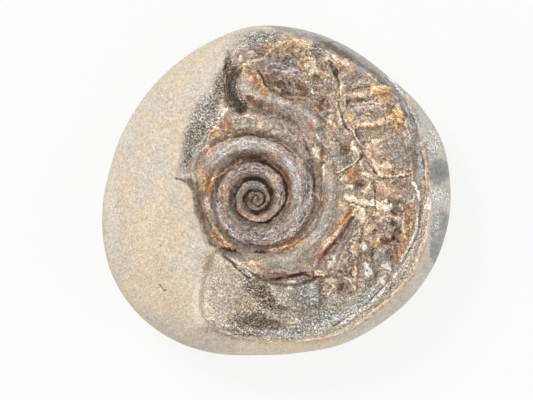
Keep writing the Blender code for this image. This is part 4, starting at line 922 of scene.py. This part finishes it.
def make_ammonite():
    degrees = np.linspace(0.0, TURN, RAYS, endpoint=False)
    foot = closed_curve(FOOT, degrees)
    rim = np.array(along(degrees, foot)).T
    rows = np.arange(-56.0, 56.0, FACE_SPACING * math.sqrt(0.75))
    columns = np.arange(-60.0, 60.0, FACE_SPACING)
    grid = np.array([(x + FACE_SPACING / 2 * (n % 2), y) for n, y in enumerate(rows) for x in columns])
    radius, angle = polar(*grid.T)
    slack = closed_curve(FOOT, angle) - radius
    grid = grid[slack > 0.06]
    near = slack[slack > 0.06] < 1.2
    close = np.zeros(len(grid), bool)
    edge = grid[near]
    nearest = np.array([np.hypot(*(rim - place).T).min() for place in edge])
    close[np.flatnonzero(near)[nearest < 0.16]] = True
    flat = np.vstack([rim, grid[~close]])
    edges = [(i, (i + 1) % RAYS) for i in range(RAYS)]
    points = [Vector(place) for place in flat]
    placed, _, triangles, *_ = delaunay_2d_cdt(points, edges, [list(range(RAYS))], 1, 1e-6, False)
    flat = np.array([tuple(place) for place in placed])
    faces = [tuple(t) for t in triangles if not bridges_a_hollow(t)]
    fields = plan_fields(*flat.T)
    face_height = top_height(*flat.T, fields)
    places = [np.column_stack([flat, face_height])]
    rim_height = shell_height(*rim.T) - RIM_DEPTH
    start = len(flat)
    previous = list(range(RAYS))
    for share in SOCKET_SHARES:
        x, y = along(degrees, foot * share)
        height = SOCKET_MIDDLE_HEIGHT + (rim_height - SOCKET_MIDDLE_HEIGHT) * share**UNDERSIDE_DISH_POWER
        places.append(np.column_stack([x, y, height]))
        loop = list(range(start, start + RAYS))
        faces += [(previous[i], loop[i], loop[(i + 1) % RAYS], previous[(i + 1) % RAYS]) for i in range(RAYS)]
        previous = loop
        start += RAYS
    places.append(np.array([[0.0, 0.0, SOCKET_MIDDLE_HEIGHT]]))
    faces += [(previous[i], start, previous[(i + 1) % RAYS]) for i in range(RAYS)]
    places = np.vstack(places)
    hidden = len(places) - len(flat)
    fields |= spiral_fields(*flat.T)
    fields["on_shell"] = np.ones(len(flat))
    fields = {name: np.concatenate([values, np.full(hidden, unseen(name))]) for name, values in fields.items()}
    return mesh_object("ammonite_shell", places, faces, fields)


def bridges_a_hollow(triangle):
    """Whether a triangle of three rim points lies outside the rim."""
    a, b, c = triangle
    return max(triangle) < RAYS and not (a < b < c or b < c < a or c < a < b)


def swell(degrees, depth):
    angle = np.radians(degrees)
    return depth * sum(size * np.sin(waves * angle + phase) for size, waves, phase in SWELLS)


def make_nodule():
    degrees = np.linspace(0.0, TURN, RAYS, endpoint=False)
    foot, lip = closed_curve(FOOT, degrees), closed_curve(LIP, degrees)
    outline = closed_curve(OUTLINE, degrees)
    lip = np.maximum(lip, foot + 0.6)
    foot_height = shell_height(*along(degrees, foot))
    lip_height = crown(*along(degrees, lip))
    rings = []
    for step in range(SLOPE_RINGS):
        share = step / SLOPE_RINGS
        rings.append((foot + (lip - foot) * share, foot_height + (lip_height - foot_height) * share**0.8))
    lip_turn = np.arcsin((lip / outline) ** (CROWN_POWER / 2))
    for step in range(CROWN_RINGS + 1):
        turn = lip_turn + (math.pi / 2 - lip_turn) * step / CROWN_RINGS
        radius = outline * np.sin(turn) ** (2 / CROWN_POWER)
        rings.append((radius, EQUATOR_HEIGHT + (CROWN_HEIGHT - EQUATOR_HEIGHT) * np.cos(turn)))
    upper_count = len(rings)
    for step in range(1, UNDERSIDE_RINGS + 1):
        turn = math.pi / 2 * step / UNDERSIDE_RINGS
        share = BASE_SHARE + (1 - BASE_SHARE) * max(math.cos(turn), 0.0) ** (2 / UNDERSIDE_POWER)
        height = np.full(RAYS, EQUATOR_HEIGHT * (1 - math.sin(turn)))
        rings.append((outline * share + swell(degrees, math.sin(2 * turn)), height))
    for step in range(1, BASE_RINGS):
        rings.append((outline * BASE_SHARE * (1 - step / BASE_RINGS), np.zeros(RAYS)))
    radius = np.concatenate([ring[0] for ring in rings])
    height = np.concatenate([ring[1] for ring in rings])
    turned = np.tile(degrees, len(rings))
    x, y = along(turned, radius)
    upper = np.arange(len(x)) < upper_count * RAYS
    fields = plan_fields(x, y)
    shown = upper & (radius < closed_curve(OUTLINE, turned) * 0.998)
    fields = {name: np.where(shown, values, unseen(name)) for name, values in fields.items()}
    roughness = fine_relief(x, y, fields)
    body = np.column_stack([x, y, height])
    lumps = 0.5 * fractal(body, 14.0, 91, 2) + 0.10 * fractal(body, 2.2, 95, 3)
    from_edge = radius - np.tile(foot, len(rings))
    height = height + np.where(upper, roughness + lumps * blend(0.0, 4.0, from_edge), 0.0)
    height = np.where(shown & (from_edge < 0.001), top_height(x, y, fields), height)
    places = [np.column_stack([x, y, height])]
    faces = []
    for ring in range(len(rings) - 1):
        low = ring * RAYS
        faces += [(low + i, low + RAYS + i, low + RAYS + (i + 1) % RAYS, low + (i + 1) % RAYS) for i in range(RAYS)]
    start = len(rings) * RAYS
    places.append(np.array([[0.0, 0.0, 0.0]]))
    last = (len(rings) - 1) * RAYS
    faces += [(last + i, start, last + (i + 1) % RAYS) for i in range(RAYS)]
    start += 1
    previous = list(range(RAYS))
    rim_height = foot_height - RIM_DEPTH
    for share in SOCKET_SHARES:
        sx, sy = along(degrees, foot * share + (SOCKET_GAP if share == 1.0 else 0.0))
        sz = SOCKET_MIDDLE_HEIGHT + (rim_height - SOCKET_MIDDLE_HEIGHT) * share**UNDERSIDE_DISH_POWER - SOCKET_GAP
        places.append(np.column_stack([sx, sy, sz]))
        loop = list(range(start, start + RAYS))
        faces += [(previous[i], previous[(i + 1) % RAYS], loop[(i + 1) % RAYS], loop[i]) for i in range(RAYS)]
        previous = loop
        start += RAYS
    places.append(np.array([[0.0, 0.0, SOCKET_MIDDLE_HEIGHT - SOCKET_GAP]]))
    faces += [(previous[i], previous[(i + 1) % RAYS], start) for i in range(RAYS)]
    places = np.vstack(places)
    hidden = len(places) - len(x)
    fields |= spiral_fields(x, y)
    fields["on_shell"] = shown * (1 - blend(0.0, 1.6, from_edge))
    fields = {name: np.concatenate([values, np.full(hidden, unseen(name))]) for name, values in fields.items()}
    return mesh_object("nodule_stone", places, faces, fields)


# ---- materials ----


def srgb(red, green, blue):
    """A colour given as it looks on a screen, from 0 to 255, as Blender's linear one."""
    def linear(value):
        value /= 255.0
        return value / 12.92 if value <= 0.04045 else ((value + 0.055) / 1.055) ** 2.4

    return (linear(red), linear(green), linear(blue), 1.0)


class Graph:
    """Short ways to add nodes to a material."""

    def __init__(self, name):
        self.material = bpy.data.materials.new(name)
        self.material.use_nodes = True
        self.tree = self.material.node_tree
        self.shader = self.tree.nodes["Principled BSDF"]

    def node(self, kind, inputs=None, **settings):
        made = self.tree.nodes.new(kind)
        for name, value in settings.items():
            setattr(made, name, value)
        for name, value in (inputs or {}).items():
            self.put(made.inputs[name], value)
        return made

    def put(self, socket, value):
        if isinstance(value, bpy.types.NodeSocket):
            self.tree.links.new(value, socket)
        else:
            socket.default_value = value

    def math(self, operation, a, b=0.0, c=0.0):
        return self.node("ShaderNodeMath", {0: a, 1: b, 2: c}, operation=operation).outputs[0]

    def field(self, name):
        return self.node("ShaderNodeAttribute", attribute_name=name).outputs["Fac"]

    def ramp(self, value, low, high, to_low=0.0, to_high=1.0):
        inputs = {"Value": value, "From Min": low, "From Max": high, "To Min": to_low, "To Max": to_high}
        return self.node("ShaderNodeMapRange", inputs, interpolation_type="SMOOTHSTEP").outputs[0]

    def mix(self, factor, a, b, blend_type="MIX"):
        made = self.node("ShaderNodeMix", data_type="RGBA", blend_type=blend_type, clamp_factor=True)
        self.put(made.inputs[0], factor)
        self.put(made.inputs[6], a)
        self.put(made.inputs[7], b)
        return made.outputs[2]

    def veins(self, vector, scale, width):
        """Thin wandering lines."""
        away = self.math("ABSOLUTE", self.math("SUBTRACT", self.noise(vector, scale, 4.0, 0.62), 0.5))
        return self.ramp(away, 0.0, width, 1.0, 0.0)

    def noise(self, vector, scale, detail=2.0, rough=0.5, distortion=0.0):
        inputs = {"Vector": vector, "Scale": scale, "Detail": detail, "Roughness": rough, "Distortion": distortion}
        return self.node("ShaderNodeTexNoise", inputs).outputs["Fac"]

    def stretched(self, vector, along_it, across_it):
        factors = (along_it, across_it, 1.0)
        return self.node("ShaderNodeVectorMath", {0: vector, 1: factors}, operation="MULTIPLY").outputs[0]

    def moved(self, vector, distance):
        step = (distance, distance * 1.7, 0.0)
        return self.node("ShaderNodeVectorMath", {0: vector, 1: step}, operation="ADD").outputs[0]


# Surfaces in painting order: light and dark colour, how ragged and how soft the edge is in plan
# units, size of its noise per millimetre, strength, and what varies it.
LAYERS = (
    ("warm", srgb(241, 217, 184), srgb(229, 208, 178), 6.0, 12.0, 0.5, 0.65, "mottle"),
    ("pale", srgb(226, 220, 208), srgb(214, 207, 194), 6.0, 12.0, 0.5, 0.5, "mottle"),
    ("ash", srgb(223, 219, 210), srgb(191, 187, 178), 5.0, 5.0, 0.8, 0.8, "grain"),
    ("tooled", srgb(217, 208, 192), srgb(182, 174, 160), 6.0, 8.0, 0.7, 0.75, "grain"),
    ("chalk", srgb(226, 212, 192), srgb(188, 174, 154), 8.0, 12.0, 0.7, 0.9, "grain"),
    ("earth", srgb(200, 178, 146), srgb(146, 126, 96), 8.0, 9.0, 0.8, 0.6, "grain"),
    # the steep wall: its own browner colour with painted shade
    ("wall_tint_and_shade", srgb(176, 158, 134), srgb(124, 107, 90), 3.0, 3.0, 0.8, 0.95, "mottle"),
    ("slate", srgb(184, 180, 175), srgb(156, 151, 146), 3.0, 4.0, 0.5, 0.95, "mottle"),
    ("keel", srgb(210, 198, 176), srgb(144, 131, 109), 2.5, 2.0, 0.8, 0.85, "streak"),
    ("grey", srgb(178, 170, 158), srgb(139, 131, 119), 4.0, 2.4, 0.5, 0.92, "cloud"),
    ("plum", srgb(184, 166, 158), srgb(106, 84, 76), 4.0, 2.4, 0.5, 0.92, "streak"),
    ("tan", srgb(228, 195, 166), srgb(180, 142, 116), 5.0, 2.6, 0.6, 0.88, "cloud"),
    ("blue", srgb(197, 197, 193), srgb(141, 142, 139), 5.0, 5.0, 0.9, 0.75, "grain"),
    ("shade", srgb(174, 174, 173), srgb(154, 154, 153), 4.0, 4.0, 0.6, 0.9, "mottle"),
    ("soot", srgb(166, 159, 147), srgb(68, 63, 54), 7.0, 7.0, 0.9, 0.78, "grain"),
    ("frost", srgb(234, 231, 225), srgb(176, 172, 165), 8.0, 6.0, 1.2, 0.6, "grain"),
    ("lirae", srgb(194, 182, 177), srgb(66, 55, 54), 4.0, 3.0, 0.8, 0.85, "streak"),
    # painted shade in hollows and under ridges, with some darker patches of the stone itself
    ("shade_and_dark_patch", srgb(142, 126, 102), srgb(74, 63, 48), 6.0, 4.0, 0.8, 0.78, "grain"),
    ("brown", srgb(152, 112, 82), srgb(84, 57, 41), 4.4, 2.4, 0.8, 0.88, "cloud"),
    ("rust", srgb(206, 150, 100), srgb(134, 86, 52), 5.0, 2.6, 0.9, 0.75, "mottle"),
    ("crust", srgb(236, 202, 154), srgb(118, 80, 50), 5.0, 3.0, 1.1, 0.8, "granule"),
    ("ochre", srgb(252, 218, 156), srgb(216, 162, 98), 3.0, 1.8, 1.1, 0.9, "mottle"),
    ("cream", srgb(248, 232, 208), srgb(214, 186, 154), 4.4, 1.6, 1.2, 0.85, "granule"),
    # painted highlights along the whorls' crests, and the light filaments of the growth lines
    ("crest_highlight_and_filament", srgb(230, 225, 218), srgb(186, 180, 172), 3.0, 1.2, 1.0, 0.85, "mottle"),
    # partly the shell's dark fill, partly painted shade in seams and gaps
    ("hollow", srgb(122, 70, 40), srgb(54, 33, 22), 2.2, 1.6, 1.0, 0.92, "mottle"),
    ("white", srgb(255, 250, 240), srgb(234, 222, 204), 4.4, 1.0, 1.3, 0.9, "mottle"),
    ("crack", srgb(128, 114, 90), srgb(76, 67, 51), 2.0, 1.0, 0.9, 0.85, "mottle"),
    ("pit", srgb(170, 130, 92), srgb(110, 84, 62), 0.8, 0.8, 1.2, 0.9, "mottle"),
)  # fmt: skip

FLAKE_COLOURS = (
    (0.0, srgb(112, 88, 72)), (0.18, srgb(168, 142, 122)), (0.34, srgb(206, 176, 146)), (0.5, srgb(142, 126, 114)),
    (0.66, srgb(188, 152, 118)), (0.82, srgb(230, 204, 174)), (1.0, srgb(150, 110, 80)),
)  # fmt: skip
OUTLINED = ("grey", "plum", "tan", "brown")


def stone_material(name, is_shell):
    g = Graph(name)
    place = g.node("ShaderNodeTexCoord").outputs["Object"]
    place = g.node("ShaderNodeVectorMath", {0: place, "Scale": 1000.0}, operation="SCALE").outputs[0]
    spiral = g.node("ShaderNodeCombineXYZ", {0: g.field("grown"), 1: g.field("crossed")}).outputs[0]
    warp = g.node("ShaderNodeTexNoise", {"Vector": place, "Scale": 0.25, "Detail": 2.0}).outputs["Color"]
    warped = g.node("ShaderNodeVectorMath", {0: warp, "Scale": 5.0}, operation="SCALE").outputs[0]
    warped = g.node("ShaderNodeVectorMath", {0: place, 1: warped}, operation="ADD").outputs[0]
    swept = g.ramp(g.field("swept"), -3.0, 3.0)
    mottle = g.noise(place, 0.8, 5.0, 0.66)
    wave = g.node("ShaderNodeCombineXYZ", {1: g.math("MULTIPLY", g.noise(place, 0.6, 3.0), 3.4)}).outputs[0]
    wavy_spiral = g.node("ShaderNodeVectorMath", {0: spiral, 1: wave}, operation="ADD").outputs[0]
    lirae = g.noise(g.stretched(wavy_spiral, 0.25, 1.9), 1.0, 4.0, 0.66)
    sweeps = g.noise(g.stretched(warped, 0.22, 1.2), 1.0, 5.0, 0.66)
    varied = {
        "mottle": mottle,
        "marble": g.noise(place, 0.5, 6.0, 0.66, 0.9),
        "streak": g.node("ShaderNodeMix", {0: swept, 2: lirae, 3: sweeps}).outputs[0],
        "grain": g.noise(place, 1.7, 3.0, 0.75),
        "granule": g.noise(g.moved(place, 2.0), 0.95, 4.0, 0.75, 0.4),
        "cloud": g.noise(g.moved(place, 4.0), 0.4, 3.0, 0.5, 0.6),
    }
    grain, fine = varied["grain"], g.noise(place, 2.4, 2.0, 0.9)
    broad = g.noise(place, 0.14, 3.0, 0.55)
    crusted = g.ramp(g.field("crusted"), -2.0, 3.0) if is_shell else 0.0
    if is_shell:
        flake = g.math("ADD", g.field("flake_0"), g.math("MULTIPLY_ADD", g.field("flake_1"), 0.6, -0.3))
        flake = g.math("MULTIPLY_ADD", g.math("SUBTRACT", varied["marble"], 0.5), 1.8, flake)
        flake = g.math("PINGPONG", g.math("ADD", flake, 2.0), 1.0)
        palette = g.node("ShaderNodeValToRGB", {0: flake})
        ramp = palette.color_ramp
        while len(ramp.elements) < len(FLAKE_COLOURS):
            ramp.elements.new(0.5)
        for element, (position, shade) in zip(ramp.elements, FLAKE_COLOURS):
            element.position, element.color = position, shade
        smooth = g.mix(g.ramp(varied["marble"], 0.40, 0.60), srgb(134, 115, 98), srgb(181, 161, 141))
        smooth = g.mix(g.ramp(varied["streak"], 0.42, 0.62, 0.0, 0.45), smooth, srgb(190, 177, 166))
        colour = g.mix(g.math("MULTIPLY", crusted, 0.75), smooth, palette.outputs[0])
    else:
        colour = g.mix(g.ramp(mottle, 0.36, 0.64), srgb(212, 202, 184), srgb(232, 221, 203))
        colour = g.mix(g.ramp(broad, 0.42, 0.6, 0.0, 0.7), colour, srgb(228, 212, 187))
        flecks = g.noise(g.moved(place, 5.0), 0.9, 4.0, 0.7)
        colour = g.mix(g.ramp(flecks, 0.54, 0.68, 0.0, 0.55), colour, srgb(226, 196, 158))
        colour = g.mix(g.ramp(g.noise(g.moved(place, 8.0), 1.1, 4.0, 0.7), 0.55, 0.68, 0.0, 0.5), colour, srgb(194, 188, 176))
    bright_veins = g.math("MULTIPLY", g.veins(g.moved(place, 3.0), 0.55, 0.024), g.ramp(mottle, 0.45, 0.56))
    dark_veins = g.math("MULTIPLY", g.veins(g.moved(warped, 7.0), 0.45, 0.020), g.ramp(mottle, 0.56, 0.46))
    masks = {}
    for order, (layer, light, deep, ragged, soft, fineness, strength, own) in enumerate(LAYERS):
        wander = g.noise(g.moved(place, 11.0 * (order + 1)), fineness, 5.0, 0.7)
        wavy = g.math("MULTIPLY_ADD", g.math("SUBTRACT", wander, 0.5), ragged * 2.0, g.field(layer))
        masks[layer] = g.ramp(wavy, -soft / 2, soft / 2, 0.0, strength)
        colour = g.mix(masks[layer], colour, g.mix(g.ramp(varied[own], 0.40, 0.60), deep, light))
        if is_shell and layer in OUTLINED:
            line = g.ramp(g.math("ABSOLUTE", g.math("SUBTRACT", wavy, 0.4)), 0.1, 0.8, 1.0, 0.0)
            line = g.math("MULTIPLY", line, g.ramp(varied["granule"], 0.42, 0.56, 0.0, 0.75))
            colour = g.mix(g.math("MULTIPLY", line, g.math("MULTIPLY_ADD", crusted, 0.7, 0.3)), colour, srgb(238, 218, 190))
            edge = g.ramp(g.math("ABSOLUTE", g.math("ADD", wavy, 0.8)), 0.1, 0.8, 1.0, 0.0)
            edge = g.math("MULTIPLY", edge, g.ramp(varied["granule"], 0.54, 0.44, 0.0, 0.6))
            colour = g.mix(g.math("MULTIPLY", edge, g.math("MULTIPLY_ADD", crusted, 0.7, 0.3)), colour, srgb(92, 72, 54))
        if layer == "plum" and is_shell:
            even = g.math("MULTIPLY_ADD", g.math("MAXIMUM", masks["grey"], masks["plum"]), -0.8, 1.0)
            crumbly = g.math("MULTIPLY", crusted, even)
            crease = g.math("MULTIPLY", g.ramp(g.field("flake_edge"), 0.0, 0.08, 1.0, 0.0), g.ramp(mottle, 0.44, 0.54, 0.1, 0.8))
            colour = g.mix(g.math("MULTIPLY", crease, crusted), colour, srgb(88, 66, 50))
            lip = g.ramp(g.math("ABSOLUTE", g.math("SUBTRACT", g.field("flake_edge"), 0.12)), 0.0, 0.05, 1.0, 0.0)
            lip = g.math("MULTIPLY", lip, g.ramp(varied["granule"], 0.48, 0.58, 0.0, 0.55))
            colour = g.mix(g.math("MULTIPLY", lip, crusted), colour, srgb(242, 222, 194))
            hairs = g.math("MULTIPLY", g.veins(g.moved(place, 13.0), 1.1, 0.03), g.ramp(mottle, 0.44, 0.54, 0.0, 0.6))
            colour = g.mix(g.math("MULTIPLY", hairs, g.math("MULTIPLY_ADD", crusted, 0.6, 0.35)), colour, srgb(238, 224, 204))
            hairs = g.math("MULTIPLY", g.veins(g.moved(place, 17.0), 1.1, 0.03), g.ramp(mottle, 0.56, 0.46, 0.0, 0.6))
            colour = g.mix(g.math("MULTIPLY", hairs, g.math("MULTIPLY_ADD", crusted, 0.6, 0.35)), colour, srgb(78, 62, 50))
        if layer == "brown" and is_shell:
            colour = g.mix(g.math("MULTIPLY", dark_veins, g.math("MULTIPLY_ADD", crumbly, 0.4, 0.2)), colour, srgb(84, 66, 52))
            colour = g.mix(g.math("MULTIPLY", bright_veins, g.math("MULTIPLY_ADD", crumbly, 0.5, 0.2)), colour, srgb(240, 220, 192))
    rough_zone = g.math("MAXIMUM", g.math("MULTIPLY", masks["tooled"], 0.5), masks["soot"])
    rough_zone = g.math("MAXIMUM", rough_zone, g.math("MULTIPLY", masks["frost"], 0.8))
    rough_zone = g.math("MULTIPLY", rough_zone, g.math("MULTIPLY_ADD", masks["chalk"], -0.8, 1.0))
    rough_zone = g.math("MAXIMUM", rough_zone, g.math("MULTIPLY", masks["keel"], 0.35))
    calm = g.math("MULTIPLY_ADD", crusted, -0.06, 0.44) if is_shell else 0.15
    strength = g.math("MULTIPLY_ADD", rough_zone, 0.7, calm)
    strength = g.math("MULTIPLY", strength, g.math("MULTIPLY_ADD", masks["chalk"], -0.45, 1.0))
    specks = g.math("ADD", g.ramp(grain, 0.34, 0.66, -0.8, 0.8), g.ramp(fine, 0.36, 0.64, -2.0, 2.0))
    specks = g.math("ADD", specks, g.math("MULTIPLY", rough_zone, g.ramp(varied["granule"], 0.38, 0.62, -0.5, 0.5)))
    if is_shell:
        specks = g.math("ADD", specks, g.math("MULTIPLY", crumbly, g.ramp(varied["marble"], 0.38, 0.62, -0.4, 0.4)))
    # painted shade in hollows and painted light on ridges, from how far each point lies below its surroundings
    hollow_shade_and_ridge_light = g.math("ADD", g.math("MULTIPLY", g.field("shade_and_ridge_light_near"), 1.8),
                     g.math("MULTIPLY", g.field("shade_and_ridge_light_wide"), 0.7))
    hollow_shade_and_ridge_light = g.math("MINIMUM", g.math("MAXIMUM", hollow_shade_and_ridge_light, -0.3), 0.7)
    # the tone brings painted shade and painted light with the stone's own patches; with the speckle and the hollow
    # shade it scales the colour
    gain = g.math("MULTIPLY_ADD", g.math("MULTIPLY", specks, strength), 0.5, g.field("tone"))
    gain = g.math("EXPONENT", g.math("SUBTRACT", gain, hollow_shade_and_ridge_light))
    gain_rgb = g.node("ShaderNodeCombineColor", {0: gain, 1: gain, 2: gain}).outputs[0]
    colour = g.mix(1.0, colour, gain_rgb, "MULTIPLY")
    g.put(g.shader.inputs["Base Color"], colour)
    rough = g.ramp(mottle, 0.3, 0.7, 0.5, 0.75) if is_shell else g.ramp(mottle, 0.3, 0.7, 0.78, 0.92)
    g.put(g.shader.inputs["Roughness"], rough)
    g.shader.inputs["Specular IOR Level"].default_value = 0.4 if is_shell else 0.25
    height = g.math("MULTIPLY", grain, g.math("MULTIPLY_ADD", rough_zone, 1.0, 0.35))
    height = g.math("MULTIPLY_ADD", mottle, 1.0, height)
    height = g.math("ADD", height, g.math("MULTIPLY", g.math("SUBTRACT", bright_veins, dark_veins), 0.35))
    bump = g.node("ShaderNodeBump", {"Strength": 0.8, "Distance": 0.0004, "Height": height})
    g.put(g.shader.inputs["Normal"], bump.outputs[0])
    return g.material


def floor_material():
    g = Graph("white table")
    place = g.node("ShaderNodeTexCoord").outputs["Object"]
    shade = g.ramp(g.noise(place, 6.0, 2.0), 0.3, 0.7, 0.0, 1.0)
    g.put(g.shader.inputs["Base Color"], g.mix(shade, (0.14, 0.14, 0.14, 1.0), (0.15, 0.15, 0.15, 1.0)))
    g.shader.inputs["Roughness"].default_value = 0.9
    g.shader.inputs["Specular IOR Level"].default_value = 0.0
    g.shader.inputs["Emission Color"].default_value = (1.0, 1.0, 1.0, 1.0)
    g.shader.inputs["Emission Strength"].default_value = 0.83
    return g.material


# ---- stage ----

CAMERA_DISTANCE = 2.5
SENSOR_WIDTH = 36.0
IN_FOCUS_HEIGHT = 28.0


def make_stage():
    bpy.ops.mesh.primitive_plane_add(size=6.0, location=(0.0, 0.0, 0.0))
    floor = bpy.context.object
    floor.name = "floor"
    floor.data.materials.append(floor_material())
    world = bpy.data.worlds.new("studio")
    bpy.context.scene.world = world
    world.use_nodes = True
    background = world.node_tree.nodes["Background"]
    background.inputs["Color"].default_value = (1.0, 1.0, 1.0, 1.0)
    background.inputs["Strength"].default_value = 0.52


def add_light(name, place, size, watts):
    light = bpy.data.lights.new(name, "AREA")
    light.size = size
    light.energy = watts
    lamp = bpy.data.objects.new(name, light)
    lamp.location = place
    lamp.rotation_euler = (-Vector(place)).to_track_quat("-Z", "Y").to_euler()
    bpy.context.scene.collection.objects.link(lamp)


def make_camera():
    """Looks straight down, framing the plan: the photograph's width is the plan's."""
    camera = bpy.data.objects.new("camera", bpy.data.cameras.new("camera"))
    middle_x = (PLAN_SIZE[0] / 2 - PLAN_UMBILICUS[0]) * PLAN_UNIT + UMBILICUS[0]
    middle_y = (PLAN_UMBILICUS[1] - PLAN_SIZE[1] / 2) * PLAN_UNIT + UMBILICUS[1]
    camera.location = (middle_x * MM, middle_y * MM, CAMERA_DISTANCE)
    camera.data.sensor_width = SENSOR_WIDTH
    camera.data.lens = SENSOR_WIDTH * (CAMERA_DISTANCE - IN_FOCUS_HEIGHT * MM) / (PLAN_SIZE[0] * PLAN_UNIT * MM)
    bpy.context.scene.collection.objects.link(camera)
    bpy.context.scene.camera = camera


def main():
    bpy.context.scene.view_settings.view_transform = "Standard"
    ammonite = make_ammonite()
    ammonite.data.materials.append(stone_material("fossil shell", True))
    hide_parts("ammonite")
    nodule = make_nodule()
    nodule.data.materials.append(stone_material("limestone", False))
    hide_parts("nodule")
    make_stage()
    add_light("key", (-0.85, 0.95, 1.75), 1.0, 25.0)
    add_light("fill", (1.2, -0.6, 1.8), 1.8, 7.0)
    make_camera()


main()
